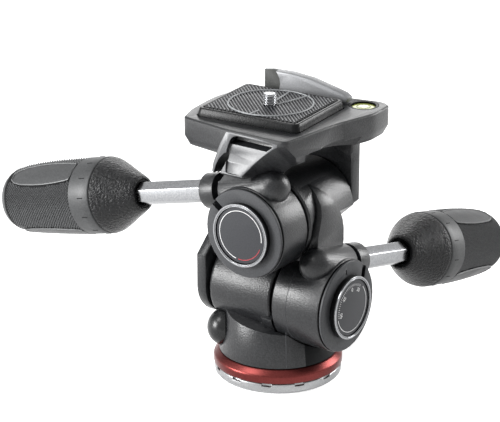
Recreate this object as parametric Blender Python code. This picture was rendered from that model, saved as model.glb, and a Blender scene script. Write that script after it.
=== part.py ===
"""Three way pan and tilt head for a tripod, built as an assembly of real pieces.

Frame: +Z up, origin at the centre of the base disc's underside, metres.
Pan turns about Z. Tilt turns about an axis along X, its dial facing +X.
Roll turns about an axis along Y, its badge facing -Y.
"""
import math

import bmesh
import bpy
from mathutils import Matrix, Vector

mm = 0.001

# Gap left between two pieces that touch or run on each other.
play = 0.3 * mm

steps_large = 40
steps_medium = 18
steps_small = 12
boss_steps = 24
boss_turn = math.radians(4)
grip_steps = 30
hex_sides = 6
sharp_angle = math.radians(32)
corner_divisor = 2.2
least_lean_share = 0.5
pole_share = 0.01

# Axes of the three movements and of the two clamp bolts.
tilt_height = 41.4 * mm
roll_height = 79.3 * mm
roll_offset_x = 4.0 * mm
bolt_offset = 18.1 * mm
tilt_bolt_x = 28.0 * mm
roll_bolt_y = -22.0 * mm
tilt_droop = math.radians(13)
roll_droop = math.radians(14)
roll_limit = math.radians(90)

# Base disc, its trim ring and the pan spindle.
base_radius = 30.0 * mm
base_height = 5.0 * mm
base_bevel = 1.2 * mm
base_edge = 0.4 * mm
hub_radius = 12.0 * mm
hub_height = 13.0 * mm
notch_count = 12
notch_turn = math.radians(-5)
notch_width = 4.6 * mm
notch_depth = 1.4 * mm
notch_height = 1.3 * mm
ring_overhang = 0.45 * mm
ring_seat = 4.4 * mm
ring_taper = 2.2 * mm
ring_band = 4.0 * mm
ring_height = 6.7 * mm
ring_radius = base_radius + ring_overhang
ring_inner_radius = base_radius - ring_seat
ring_top_radius = base_radius - ring_taper
ring_straight_top = base_height + ring_band
ring_top = base_height + ring_height
bush_radius = 8.0 * mm
bush_bore_radius = 4.75 * mm
bush_chamfer = 0.8 * mm
spindle_radius = 7.5 * mm
spindle_foot_height = 1.8 * mm
spindle_top = 25.0 * mm
sleeve_radius = 11.0 * mm
sleeve_height = 2.2 * mm
washer_radius = 9.4 * mm
washer_height = 1.2 * mm
pan_screw_radius = 3.0 * mm
pan_screw_length = 12.0 * mm
pan_screw_head_radius = 5.5 * mm
pan_screw_head_height = 3.5 * mm
pan_screw_key_radius = 2.9 * mm
pan_screw_key_depth = 2.0 * mm

# Pan housing: a tapered neck under a barrel that lies along the tilt axis.
neck_foot = ring_top + play
neck_taper = 3.5 * mm
neck_foot_radius = ring_top_radius
neck_top_radius = neck_foot_radius - neck_taper
neck_top_drop = 8.4 * mm
rim_drop = 11.8 * mm
rim_slope = math.radians(7)
rim_reach = 60.0 * mm
barrel_radius = 20.0 * mm
barrel_left = -26.2 * mm
barrel_right = 8.6 * mm
barrel_rounding = 2.2 * mm
stop_left = 5.0 * mm
stop_right = 10.6 * mm
stop_radius = 22.0 * mm
stop_root_radius = 18.0 * mm
stop_start = math.radians(198)
stop_end = math.radians(255)
pan_cavity_radius = 9.7 * mm
pan_cavity_top = 31.0 * mm
hub_clearance = 1.4 * mm
saddle_clearance = 0.6 * mm

# Pan lock knob at the front left.
knob_direction = Vector((-0.809, -0.588, 0.0)).normalized()
knob_height = 21.5 * mm
knob_radius = 8.7 * mm
knob_rim = neck_top_radius - play
knob_length = 9.5 * mm
knob_tip = knob_rim + knob_length
knob_edge = 1.6 * mm
knob_clearance = 0.5 * mm
stud_radius = 2.5 * mm
stud_start = 13.0 * mm
stud_in_knob = 5.0 * mm
shoe_radius = 3.0 * mm
shoe_length = 5.0 * mm

# Tilt clamp, the split barrel of the fork, and the drum inside it.
tilt_clamp_radius = 22.0 * mm
tilt_clamp_start = 11.2 * mm
tilt_clamp_face = 38.8 * mm
roll_clamp_radius = 21.3 * mm
roll_clamp_start = 12.6 * mm
roll_clamp_face = 33.0 * mm
disc_thickness = 1.1 * mm
disc_groove = 0.7 * mm
disc_groove_depth = 1.4 * mm
disc_inset = 0.5 * mm
casting_edge = 0.8 * mm
drum_radius = 13.0 * mm
shaft_radius = 6.0 * mm
index_turn = math.radians(94)
index_radius = 17.0 * mm
index_width = 0.9 * mm
index_length = 2.6 * mm
index_depth = 0.6 * mm

# Bright ring and dial or badge plate in front of each clamp.
face_ring_radius = 15.3 * mm
face_ring_wall = 1.7 * mm
tilt_ring_height = 3.0 * mm
roll_ring_height = 2.9 * mm
face_ring_edge = 0.7 * mm
face_plate_set_back = 0.7 * mm

# Bolt boss over each clamp, its split and the captured nut.
boss_radius = 8.1 * mm
tilt_boss_centre = -13.9 * mm
roll_boss_centre = -13.0 * mm
collar_radius = 8.3 * mm
collar_step = 1.6 * mm
tilt_collar_end = 19.5 * mm
roll_collar_end = 24.0 * mm
collar_edge = 0.6 * mm
tilt_slit_start = 8.4 * mm
tilt_slit_end = 11.4 * mm
roll_slit_start = 12.4 * mm
roll_slit_end = 16.0 * mm
roll_slit_turn = math.radians(144.5)
roll_slit_width = 3.2 * mm
roll_slit_root = 12.0 * mm
roll_slit_bend = 22.6 * mm
roll_slit_foot = -2.6 * mm
slit_top = 11.0 * mm
slit_root = -12.0 * mm
bolt_bore_radius = 3.7 * mm
bolt_bore_overrun = 2.0 * mm
nut_pocket_start = -17.0 * mm
nut_pocket_end = -9.5 * mm
nut_pocket_radius = 5.8 * mm
nut_radius = 5.2 * mm
thread_radius = 2.9 * mm
thread_tip = -15.5 * mm
thread_relief = 0.6 * mm

# Fork: left arm, crown, upper barrel and the cheek on the right.
arm_left = -33.0 * mm
arm_right = -27.6 * mm
arm_radius = 20.0 * mm
arm_depth_share = 0.88
arm_edge = 0.9 * mm
arm_top_drop = 6.6 * mm
arm_shoulder_drop = 8.4 * mm
arm_front_taper = (-12.8 * mm, -1.6 * mm)
arm_top_front = -11.0 * mm
arm_top_back = 15.0 * mm
arm_back_taper = (18.5 * mm, -3.5 * mm)
arm_recess_radius = 11.0 * mm
arm_recess_depth = 4.0 * mm
arm_bush_radius = 7.8 * mm
arm_nut_radius = 9.4 * mm
arm_nut_height = 2.2 * mm
cover_radius = 13.5 * mm
cover_height = 1.8 * mm
cover_edge = 0.6 * mm
crown_foot = 17.1 * mm
crown_corner_x = -30.0 * mm
crown_corner_drop = 7.0 * mm
crown_top_drop = 7.3 * mm
crown_wall = 6.0 * mm
crown_set_in = 0.3 * mm
crown_top = max(roll_height - crown_top_drop,
                tilt_height + barrel_radius + saddle_clearance + crown_wall)
crown_front = -11.0 * mm
crown_back = arm_radius - crown_set_in
crown_edge = 1.2 * mm
barrel_top_radius = 21.5 * mm
barrel_top_front = -11.0 * mm
barrel_top_back = 25.0 * mm
cheek_foot = 8.0 * mm
cheek_profile = ((23.8 * mm, -4.3 * mm), (23.6 * mm, 0.7 * mm), (23.0 * mm, 5.2 * mm),
                 (21.6 * mm, 9.7 * mm), (18.2 * mm, 13.7 * mm), (13.4 * mm, 17.1 * mm),
                 (7.6 * mm, 18.1 * mm))
cheek_side = ((11.6 * mm, -22.3 * mm), (12.9 * mm, -11.3 * mm), (12.8 * mm, -5.8 * mm),
              (12.0 * mm, -1.3 * mm), (10.2 * mm, 3.1 * mm), (8.0 * mm, 7.4 * mm),
              (5.6 * mm, 11.7 * mm), (-0.6 * mm, 18.2 * mm), (-2.5 * mm, 12.7 * mm),
              (-3.4 * mm, 8.7 * mm), (-4.7 * mm, 3.9 * mm), (-6.7 * mm, -0.4 * mm),
              (-8.2 * mm, -4.8 * mm), (-8.8 * mm, -22.3 * mm))
crescent = ((-1.4 * mm, 15.7 * mm), (-4.4 * mm, 9.5 * mm), (-6.4 * mm, 5.5 * mm),
            (-9.0 * mm, 1.7 * mm), (-9.9 * mm, -2.3 * mm), (-9.9 * mm, -15.3 * mm),
            (-8.8 * mm, -15.3 * mm), (-8.2 * mm, -4.8 * mm), (-6.7 * mm, -0.4 * mm),
            (-4.7 * mm, 3.9 * mm), (-3.4 * mm, 8.7 * mm), (-2.5 * mm, 12.7 * mm))
crescent_floor = 20.4 * mm
flank_outline = ((26.0 * mm, 6.3 * mm), (22.2 * mm, 2.7 * mm), (4.5 * mm, -14.3 * mm),
                 (4.5 * mm, -24.3 * mm), (26.0 * mm, -24.3 * mm))
flank_front = 9.4 * mm
cheek_reach = 30.0 * mm

# Platform and the two legs that carry it.
platform_outline = ((-34.7 * mm, -26.4 * mm), (-30.2 * mm, -27.4 * mm), (-8.0 * mm, -30.5 * mm),
                    (24.8 * mm, -30.7 * mm), (28.4 * mm, 5.6 * mm), (33.9 * mm, 27.7 * mm),
                    (32.6 * mm, 42.9 * mm), (26.8 * mm, 45.5 * mm), (16.9 * mm, 43.1 * mm),
                    (-12.0 * mm, 36.5 * mm), (-33.5 * mm, 29.5 * mm), (-37.6 * mm, 26.5 * mm),
                    (-39.5 * mm, 20.0 * mm), (-41.4 * mm, 7.9 * mm), (-41.0 * mm, -0.4 * mm),
                    (-38.5 * mm, -16.5 * mm))
platform_corner = 3.0 * mm
platform_rise = 46.7 * mm
platform_band = 9.0 * mm
platform_thickness = 13.4 * mm
platform_edge = 0.7 * mm
platform_chamfer = 2.2 * mm
platform_top = roll_height + platform_rise
platform_band_foot = platform_top - platform_band
platform_underside = platform_top - platform_thickness
scoop_start = 24.7 * mm
scoop_end = 41.5 * mm
scoop_clearance = 0.7 * mm
web_head = platform_rise + 1.2 * mm
web_outline = ((-10.2 * mm, web_head), (-14.0 * mm, 40.4 * mm), (-15.8 * mm, 35.4 * mm),
               (-17.5 * mm, 30.2 * mm), (-18.1 * mm, 23.7 * mm), (-17.6 * mm, 12.7 * mm),
               (0.2 * mm, 12.7 * mm), (0.6 * mm, 24.9 * mm), (8.0 * mm, 30.3 * mm),
               (16.6 * mm, 39.2 * mm), (16.6 * mm, web_head))
rib_low = (-6.0 * mm, 19.7 * mm)
rib_high = (22.0 * mm, 34.9 * mm)
rib_front = 28.3 * mm
rib_back = 20.6 * mm
gusset_back = 20.2 * mm
gusset_back_curve = ((4.0 * mm, 23.7 * mm), (8.3 * mm, 26.7 * mm), (13.0 * mm, 28.1 * mm),
                     (17.5 * mm, 31.9 * mm), (22.5 * mm, 34.9 * mm))
gusset_front = 31.5 * mm
gusset_front_curve = ((-0.6 * mm, 27.0 * mm), (3.5 * mm, 31.7 * mm), (9.0 * mm, 38.0 * mm),
                      (14.4 * mm, 43.1 * mm), (19.0 * mm, 45.7 * mm))
gusset_end = 36.0 * mm
gusset_end_curve = ((-2.8 * mm, 28.6 * mm), (1.2 * mm, 34.1 * mm), (7.1 * mm, 42.7 * mm),
                    (12.9 * mm, 48.4 * mm), (17.3 * mm, 50.8 * mm))
gusset_foot = 0.7 * mm
gusset_side = 56.0 * mm
web_back_head = platform_rise - 1.1 * mm
web_side = ((-28.4 * mm, 10.7 * mm), (-13.1 * mm, 10.7 * mm), (-13.1 * mm, web_back_head),
            (-30.6 * mm, web_back_head), (-32.7 * mm, 26.5 * mm), (-31.9 * mm, 25.6 * mm),
            (-28.4 * mm, 25.6 * mm))
pocket_outline = ((-8.6 * mm, 43.3 * mm), (-10.6 * mm, 37.9 * mm), (-10.4 * mm, 26.9 * mm),
                  (-2.8 * mm, 27.1 * mm), (2.8 * mm, 33.3 * mm), (9.0 * mm, 39.1 * mm),
                  (14.4 * mm, 43.3 * mm), (13.6 * mm, 44.9 * mm), (-6.0 * mm, 44.9 * mm))
pocket_corner = 1.4 * mm
pocket_side = ((-36.0 * mm, 26.1 * mm), (-32.0 * mm, 27.1 * mm), (-30.9 * mm, 31.3 * mm),
               (-29.9 * mm, 36.3 * mm), (-29.5 * mm, 40.1 * mm), (-25.2 * mm, 41.1 * mm),
               (-24.8 * mm, 45.7 * mm), (-36.0 * mm, 45.7 * mm))
relief_outline = ((-20.4 * mm, 20.3 * mm), (-17.2 * mm, 19.7 * mm), (-14.2 * mm, 23.9 * mm),
                  (-13.0 * mm, 27.1 * mm), (-10.9 * mm, 30.9 * mm), (-9.8 * mm, 34.3 * mm),
                  (-10.0 * mm, 36.3 * mm), (-11.6 * mm, 36.1 * mm), (-14.6 * mm, 32.7 * mm),
                  (-16.4 * mm, 28.7 * mm), (-16.9 * mm, 25.1 * mm), (-18.6 * mm, 23.9 * mm))
leg_front = 25.4 * mm
leg_back = 32.0 * mm
leg_half_width = 19.8 * mm
leg_end_radius = 12.5 * mm
leg_shoulder = 2.0 * mm
leg_overlap = 6.9 * mm
leg_cover_radius = 12.0 * mm
leg_edge = 0.9 * mm
leg_recess_depth = 3.4 * mm
tower_cover_height = 1.6 * mm

# Bubble level in the rear corner of the platform.
level_place = (22.6 * mm, 35.6 * mm)
level_radius = 7.0 * mm
level_wall = 1.0 * mm
level_depth = 5.4 * mm
level_set_back = 0.5 * mm
level_dome = 0.4 * mm

# Quick release plate, its seat, pad, camera screw and lever.
plate_centre = (-6.6 * mm, 2.8 * mm)
plate_turn = math.radians(5.5)
plate_length = 53.2 * mm
plate_width = 45.4 * mm
plate_corner = 3.0 * mm
plate_band = 0.6 * mm
plate_rise = 3.8 * mm
plate_waist = platform_top + plate_band
plate_top = platform_top + plate_rise
plate_flare = 0.8 * mm
plate_rim = 1.5 * mm
pad_corner = 1.6 * mm
seat_depth = 4.2 * mm
seat_margin = 0.4 * mm
pad_thickness = 1.4 * mm
pad_proud = 0.4 * mm
camera_screw_radius = 3.17 * mm
camera_screw_proud = 5.6 * mm
camera_screw_top = plate_top + camera_screw_proud
camera_screw_chamfer = 0.6 * mm
camera_screw_head_radius = 6.5 * mm
camera_screw_head_height = 2.2 * mm
camera_screw_place = (-6.0 * mm, 0.9 * mm)
lever_pivot = (11.0 * mm, 33.8 * mm)
lever_profile = ((-41.0 * mm, 0.5 * mm), (4.6 * mm, 0.5 * mm), (5.1 * mm, 2.9 * mm),
                 (2.5 * mm, 4.6 * mm), (-4.1 * mm, 6.4 * mm), (-14.7 * mm, 9.1 * mm),
                 (-25.4 * mm, 10.3 * mm), (-36.2 * mm, 10.2 * mm), (-41.0 * mm, 9.5 * mm))
lever_thickness = 5.4 * mm
lever_edge = 0.8 * mm
lever_scoop_centre = (-38.4 * mm, 4.6 * mm)
lever_scoop_radius = 7.6 * mm
lever_scoop_depth = 3.2 * mm
pin_radius = 2.2 * mm
pin_depth = 7.0 * mm
pin_height = 4.0 * mm
pin_foot = platform_top - pin_depth
pin_top = platform_top + pin_height

# Handles: hexagonal rods and grips that slide along them.
rod_flats = 9.8 * mm
rod_end = 100.0 * mm
rod_chamfer = 0.6 * mm
tilt_grip_start = 59.0 * mm
roll_grip_start = 63.6 * mm
cone_stations = ((0, 7.6 * mm), (0.7 * mm, 8.4 * mm), (9.0 * mm, 13.2 * mm),
                 (16.4 * mm, 17.3 * mm), (17.8 * mm, 17.9 * mm), (18.8 * mm, 18.1 * mm))
cone_length = cone_stations[-1][0]
cone_bore_radius = 7.0 * mm
cone_lip = 4.0 * mm
collet_radius = 6.7 * mm
collet_bore_radius = 5.9 * mm
core_radius = 9.0 * mm
core_bore_radius = 6.2 * mm
core_start = 9.0 * mm
core_end = 78.0 * mm
core_bore_end = 76.8 * mm
sleeve_stations = ((0, 17.9 * mm), (0.6 * mm, 18.4 * mm), (12.0 * mm, 18.4 * mm),
                   (30.0 * mm, 18.1 * mm), (42.0 * mm, 17.5 * mm), (52.0 * mm, 16.5 * mm),
                   (57.5 * mm, 15.3 * mm), (60.8 * mm, 13.6 * mm), (62.7 * mm, 11.2 * mm),
                   (63.2 * mm, 8.6 * mm))
sleeve_gap = 0.5 * mm


def unit(vector):
    return Vector(vector).normalized()


def frame(origin, along, side):
    """Matrix whose Z runs along the axis of a piece and whose X points to its side."""
    z_axis = unit(along)
    x_axis = unit(side)
    y_axis = z_axis.cross(x_axis)
    matrix = Matrix((x_axis, y_axis, z_axis)).transposed().to_4x4()
    matrix.translation = Vector(origin)
    return matrix


def bolt_frame(centre, across, droop):
    """Frame of a clamp bolt: Z out along the handle, X away from the clamp's axis."""
    outward = across * math.cos(droop) - Vector((0, 0, math.sin(droop)))
    upward = across * math.sin(droop) + Vector((0, 0, math.cos(droop)))
    return frame(Vector(centre) + upward * bolt_offset, outward, upward)


world = Matrix.Identity(4)
tilt_frame = frame((0, 0, tilt_height), (1, 0, 0), (0, 1, 0))
roll_frame = frame((roll_offset_x, 0, roll_height), (0, -1, 0), (1, 0, 0))
tilt_bolt = bolt_frame((tilt_bolt_x, 0, tilt_height), Vector((0, 1, 0)), tilt_droop)
roll_bolt = bolt_frame((roll_offset_x, roll_bolt_y, roll_height), Vector((-1, 0, 0)), roll_droop)
knob_frame = frame((0, 0, knob_height), knob_direction, (0, 0, 1))


def clear_scene():
    for thing in list(bpy.data.objects):
        bpy.data.objects.remove(thing, do_unlink=True)


def paint(name, colour, roughness, metallic):
    material = bpy.data.materials.new(name)
    material.use_nodes = True
    shader = material.node_tree.nodes["Principled BSDF"]
    shader.inputs["Base Color"].default_value = (*colour, 1)
    shader.inputs["Roughness"].default_value = roughness
    shader.inputs["Metallic"].default_value = metallic
    material.diffuse_color = (*colour, 1)
    return material


def empty(name, place, holder=None):
    """Empty at a joint, which carries the pieces of one moving body."""
    thing = bpy.data.objects.new(name, None)
    bpy.context.collection.objects.link(thing)
    thing.parent = holder
    thing.matrix_world = place
    bpy.context.view_layer.update()
    return thing


def block(shape, place):
    """Object made from a bmesh, with its faces turned outwards."""
    bmesh.ops.recalc_face_normals(shape, faces=shape.faces)
    mesh = bpy.data.meshes.new("shape")
    shape.to_mesh(mesh)
    shape.free()
    thing = bpy.data.objects.new("shape", mesh)
    bpy.context.collection.objects.link(thing)
    thing.matrix_world = place
    return thing


def turned(profile, place, steps=steps_large):
    """Solid of revolution about Z from (radius, height) points of its half section."""
    shape = bmesh.new()
    points = list(profile)
    flat_start = points[0][0] == 0 and points[0][1] == points[1][1]
    flat_end = points[-1][0] == 0 and points[-1][1] == points[-2][1]
    if flat_start:
        points = points[1:]
    if flat_end:
        points = points[:-1]
    rings = []
    for radius, height in points:
        if radius == 0:
            rings.append([shape.verts.new((0, 0, height))])
            continue
        ring = []
        for step in range(steps):
            angle = 2 * math.pi * step / steps
            ring.append(shape.verts.new((radius * math.cos(angle), radius * math.sin(angle), height)))
        rings.append(ring)
    pairs = list(zip(rings, rings[1:]))
    if flat_start:
        shape.faces.new(rings[0])
    if flat_end:
        shape.faces.new(rings[-1])
    if profile[0][0] > 0 and profile[-1][0] > 0:
        pairs.append((rings[-1], rings[0]))
    for lower, upper in pairs:
        for step in range(steps):
            after = (step + 1) % steps
            corners = [lower[step % len(lower)], lower[after % len(lower)],
                       upper[after % len(upper)], upper[step % len(upper)]]
            face = []
            for corner in corners:
                if corner not in face:
                    face.append(corner)
            if len(face) > 2:
                shape.faces.new(face)
    return block(shape, place)


def prism(outline, low, high, place, edge=0):
    """Flat outline in X and Y, extruded from low to high along Z, with an optional bevel."""
    shape = bmesh.new()
    corners = [shape.verts.new((x, y, low)) for x, y in outline]
    face = shape.faces.new(corners)
    raised = bmesh.ops.extrude_face_region(shape, geom=[face])
    moved = [item for item in raised["geom"] if isinstance(item, bmesh.types.BMVert)]
    bmesh.ops.translate(shape, verts=moved, vec=(0, 0, high - low))
    if edge:
        rims = [item for item in shape.edges if item.verts[0].co.z == item.verts[1].co.z]
        bmesh.ops.bevel(shape, geom=rims, offset=edge, segments=2, profile=0.5, affect="EDGES")
        bmesh.ops.triangulate(shape, faces=shape.faces)
    return block(shape, place)


def stack(layers, place):
    """Closed solid through a pile of (outline, height) layers with equal point counts."""
    shape = bmesh.new()
    rings = []
    for outline, height in layers:
        rings.append([shape.verts.new((x, y, height)) for x, y in outline])
    for lower, upper in zip(rings, rings[1:]):
        for step in range(len(lower)):
            after = (step + 1) % len(lower)
            shape.faces.new((lower[step], lower[after], upper[after], upper[step]))
    shape.faces.new(rings[0])
    shape.faces.new(rings[-1])
    return block(shape, place)


def merge(target, others, operation):
    """Runs a Boolean of the target with each other solid, which it uses up."""
    for other in others:
        step = target.modifiers.new(operation.lower(), "BOOLEAN")
        step.operation = operation
        step.solver = "EXACT"
        step.object = other
    bpy.context.view_layer.update()
    graph = bpy.context.evaluated_depsgraph_get()
    mesh = bpy.data.meshes.new_from_object(target.evaluated_get(graph))
    target.modifiers.clear()
    target.data = mesh
    for other in others:
        bpy.data.objects.remove(other, do_unlink=True)
    return target


def fuse(target, *others):
    return merge(target, others, "UNION")


def carve(target, *others):
    return merge(target, others, "DIFFERENCE")


def common(target, *others):
    return merge(target, others, "INTERSECT")


def piece(name, thing, material, holder):
    """Names a finished piece, gives it its material and hangs it on its body's empty."""
    mesh = thing.data
    mesh.transform(holder.matrix_world.inverted() @ thing.matrix_world)
    mesh.name = name
    mesh.materials.clear()
    mesh.materials.append(material)
    mesh.shade_smooth()
    mesh.set_sharp_from_angle(angle=sharp_angle)
    thing.name = name
    thing.parent = holder
    thing.matrix_world = holder.matrix_world
    return thing


def shifted(points, along_x, along_y):
    return [(x + along_x, y + along_y) for x, y in points]


def arc(radius, start, end, count):
    points = []
    for step in range(count + 1):
        angle = start + (end - start) * step / count
        points.append((radius * math.cos(angle), radius * math.sin(angle)))
    return points


def rounded(outline, radius, count=3):
    """The same outline with each corner replaced by a short curve."""
    points = []
    for index, corner in enumerate(outline):
        corner = Vector(corner)
        before = Vector(outline[index - 1]) - corner
        after = Vector(outline[(index + 1) % len(outline)]) - corner
        reach = min(radius, before.length / corner_divisor, after.length / corner_divisor)
        start = corner + before.normalized() * reach
        end = corner + after.normalized() * reach
        for step in range(count + 1):
            share = step / count
            points.append(tuple(start * (1 - share) ** 2 + corner * 2 * share * (1 - share)
                                + end * share ** 2))
    return points


def inset(outline, amount):
    """The same outline moved inwards by an equal amount on every side."""
    area = 0
    for index, point in enumerate(outline):
        after = outline[(index + 1) % len(outline)]
        area += point[0] * after[1] - after[0] * point[1]
    turn = 1 if area > 0 else -1
    points = []
    for index, corner in enumerate(outline):
        corner = Vector(corner)
        before = (corner - Vector(outline[index - 1])).normalized()
        after = (Vector(outline[(index + 1) % len(outline)]) - corner).normalized()
        normal = Vector((-before.y - after.y, before.x + after.x)) * turn
        normal.normalize()
        lean = max(abs(before.x * normal.y - before.y * normal.x), least_lean_share)
        points.append(tuple(corner + normal * amount / lean))
    return points


def rectangle(length, width, radius):
    half_length = length / 2
    half_width = width / 2
    corners = ((-half_length, -half_width), (half_length, -half_width),
               (half_length, half_width), (-half_length, half_width))
    return rounded(corners, radius, 4)


def box(low, high, place):
    outline = ((low[0], low[1]), (high[0], low[1]), (high[0], high[1]), (low[0], high[1]))
    return prism(outline, low[2], high[2], place)


def base_disc():
    profile = [(bush_radius + play, 0), (base_radius - base_bevel, 0), (base_radius, base_bevel),
               (base_radius, base_height - base_edge), (base_radius - base_edge, base_height),
               (hub_radius, base_height), (hub_radius, hub_height),
               (bush_radius + play, hub_height)]
    disc = turned(profile, world)
    cutters = []
    for index in range(notch_count):
        angle = notch_turn + 2 * math.pi * index / notch_count
        place = Matrix.Rotation(angle, 4, "Z")
        low = (base_radius - notch_depth, -notch_width / 2, base_height - notch_height)
        high = (base_radius + base_bevel, notch_width / 2, base_height + base_bevel)
        cutters.append(box(low, high, place))
    return carve(disc, *cutters)


def base_ring():
    profile = [(ring_inner_radius, base_height + play), (ring_radius, base_height + play),
               (ring_radius, ring_straight_top), (ring_top_radius, ring_top),
               (ring_inner_radius, ring_top)]
    return turned(profile, world)


def thread_bush():
    top = hub_height - play
    profile = [(bush_bore_radius + bush_chamfer, play), (bush_radius, play), (bush_radius, top),
               (bush_bore_radius, top), (bush_bore_radius, play + bush_chamfer)]
    return turned(profile, world, steps_medium)


def pan_spindle():
    foot = hub_height + play
    bore = pan_screw_radius + play
    profile = [(bore, foot), (hub_radius, foot), (hub_radius, foot + spindle_foot_height),
               (spindle_radius, foot + spindle_foot_height), (spindle_radius, spindle_top),
               (bore, spindle_top)]
    return turned(profile, world, steps_medium)


def pan_sleeve():
    foot = hub_height + 2 * play + spindle_foot_height
    inner = spindle_radius + play
    profile = [(inner, foot), (sleeve_radius, foot), (sleeve_radius, foot + sleeve_height),
               (inner, foot + sleeve_height)]
    return turned(profile, world, steps_medium)


def pan_washer():
    foot = spindle_top + play
    inner = pan_screw_radius + play
    profile = [(inner, foot), (washer_radius, foot), (washer_radius, foot + washer_height),
               (inner, foot + washer_height)]
    return turned(profile, world, steps_medium)


def pan_screw():
    seat = spindle_top + 2 * play + washer_height
    top = seat + pan_screw_head_height
    profile = [(0, seat - pan_screw_length), (pan_screw_radius, seat - pan_screw_length),
               (pan_screw_radius, seat), (pan_screw_head_radius, seat),
               (pan_screw_head_radius, top), (0, top)]
    key = [(0, top - pan_screw_key_depth), (pan_screw_key_radius, top - pan_screw_key_depth),
           (pan_screw_key_radius, top + play), (0, top + play)]
    return carve(turned(profile, world, steps_small), turned(key, world, hex_sides))


def pan_housing():
    neck_top = tilt_height - neck_top_drop
    neck = turned([(0, neck_foot), (neck_foot_radius, neck_foot), (neck_top_radius, neck_top),
                   (0, neck_top)], world)
    rim_place = Matrix.Translation((0, 0, tilt_height - rim_drop)) @ Matrix.Rotation(rim_slope, 4, "Y")
    neck = carve(neck, box((-rim_reach, -rim_reach, 0), (rim_reach, rim_reach, rim_reach), rim_place))
    round_end = []
    for radius, share in arc(1, 0, math.pi / 2, 4):
        round_end.append((barrel_radius - barrel_rounding * (1 - radius),
                          barrel_left + barrel_rounding * (1 - share)))
    barrel = turned([(0, barrel_left), *reversed(round_end),
                     (barrel_radius, barrel_right - casting_edge),
                     (barrel_radius - casting_edge, barrel_right), (0, barrel_right)], tilt_frame)
    stop = prism([*arc(stop_radius, stop_start, stop_end, 8),
                  *reversed(arc(stop_root_radius, stop_start, stop_end, 8))],
                 stop_left, stop_right, tilt_frame)
    body = fuse(neck, barrel, stop)

    clamp_room = turned([(0, tilt_clamp_start - saddle_clearance),
                         (tilt_clamp_radius + saddle_clearance, tilt_clamp_start - saddle_clearance),
                         (tilt_clamp_radius + saddle_clearance, tilt_clamp_face),
                         (0, tilt_clamp_face)], tilt_frame)
    arm_room = turned([(0, arm_left), (arm_radius + saddle_clearance, arm_left),
                       (arm_radius + saddle_clearance, barrel_left - saddle_clearance),
                       (0, barrel_left - saddle_clearance)], tilt_frame)
    shaft_room = turned([(0, arm_left), (shaft_radius + play, arm_left),
                         (shaft_radius + play, tilt_clamp_face), (0, tilt_clamp_face)],
                        tilt_frame, steps_medium)
    foot_top = hub_height + 2 * play + spindle_foot_height
    sleeve_top = foot_top + sleeve_height + play
    spindle_room = turned([(0, 0), (hub_radius + hub_clearance, 0),
                           (hub_radius + hub_clearance, foot_top), (sleeve_radius + play, foot_top),
                           (sleeve_radius + play, sleeve_top), (spindle_radius + play, sleeve_top),
                           (spindle_radius + play, spindle_top),
                           (pan_cavity_radius, spindle_top), (pan_cavity_radius, pan_cavity_top),
                           (0, pan_cavity_top)], world, steps_medium)
    knob_room = turned([(0, spindle_radius), (shoe_radius + play, spindle_radius),
                        (shoe_radius + play, knob_rim - knob_clearance),
                        (knob_radius + knob_clearance, knob_rim - knob_clearance),
                        (knob_radius + knob_clearance, knob_tip), (0, knob_tip)],
                       knob_frame, steps_medium)
    return carve(body, clamp_room, arm_room, shaft_room, spindle_room, knob_room)


def pan_knob():
    profile = [(stud_radius + play, knob_rim), (knob_radius - knob_edge / 2, knob_rim),
               (knob_radius, knob_rim + knob_edge / 2)]
    body = knob_rim + knob_edge
    for share_out, share_up in arc(1, 0, math.pi / 2, 7):
        if share_out < pole_share:
            share_out = 0
        profile.append((knob_radius * share_out, body + (knob_tip - body) * share_up))
    profile.append((0, knob_rim + stud_in_knob + play))
    profile.append((stud_radius + play, knob_rim + stud_in_knob + play))
    return turned(close_blind(profile), knob_frame, steps_medium)


def close_blind(profile):
    """Half section that leaves the axis and comes back to it, started on the axis."""
    first = max(index for index, point in enumerate(profile) if point[0] == 0)
    return profile[first:] + profile[:first]


def pan_knob_stud():
    start = stud_start + play
    end = knob_rim + stud_in_knob
    return turned([(0, start), (stud_radius, start), (stud_radius, end), (0, end)],
                  knob_frame, steps_small)


def pan_brake_shoe():
    start = spindle_radius + play
    end = start + shoe_length
    return turned([(0, start), (shoe_radius, start), (shoe_radius, end), (0, end)],
                  knob_frame, steps_small)


def tilt_shaft():
    inner = barrel_right + play
    end = arm_left + arm_recess_depth - play - arm_nut_height
    return turned([(0, end), (shaft_radius, end), (shaft_radius, inner), (drum_radius, inner),
                   (drum_radius, tilt_clamp_face), (0, tilt_clamp_face)],
                  tilt_frame, steps_medium)


def roll_shaft():
    inner = -barrel_top_front + play
    end = -(leg_back - leg_recess_depth + play + arm_nut_height)
    return turned([(0, end), (shaft_radius, end), (shaft_radius, inner), (drum_radius, inner),
                   (drum_radius, roll_clamp_face), (0, roll_clamp_face)],
                  roll_frame, steps_medium)


def shaft_nut(place, outer_face):
    """Hexagonal nut whose inner face lies at outer_face, going down the axis from there."""
    inner = shaft_radius + play
    profile = [(inner, outer_face - arm_nut_height), (arm_nut_radius, outer_face - arm_nut_height),
               (arm_nut_radius, outer_face), (inner, outer_face)]
    outer = turned([(0, profile[0][1]), *profile[1:3], (0, outer_face)], place, hex_sides)
    bore = turned([(0, outer_face - 2 * arm_nut_height), (inner, outer_face - 2 * arm_nut_height),
                   (inner, outer_face + play), (0, outer_face + play)], place, steps_small)
    return carve(outer, bore)


def face_ring(face, height, place):
    """Bright ring in front of a clamp, standing on the drum behind it."""
    inner = face_ring_radius - face_ring_wall
    foot = face + play
    top = face + height + play
    profile = [(inner, foot), (face_ring_radius, foot), (face_ring_radius, top - face_ring_edge),
               (face_ring_radius - face_ring_edge, top), (inner + face_ring_edge / 2, top),
               (inner, top - face_ring_edge / 2)]
    return turned(profile, place)


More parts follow.
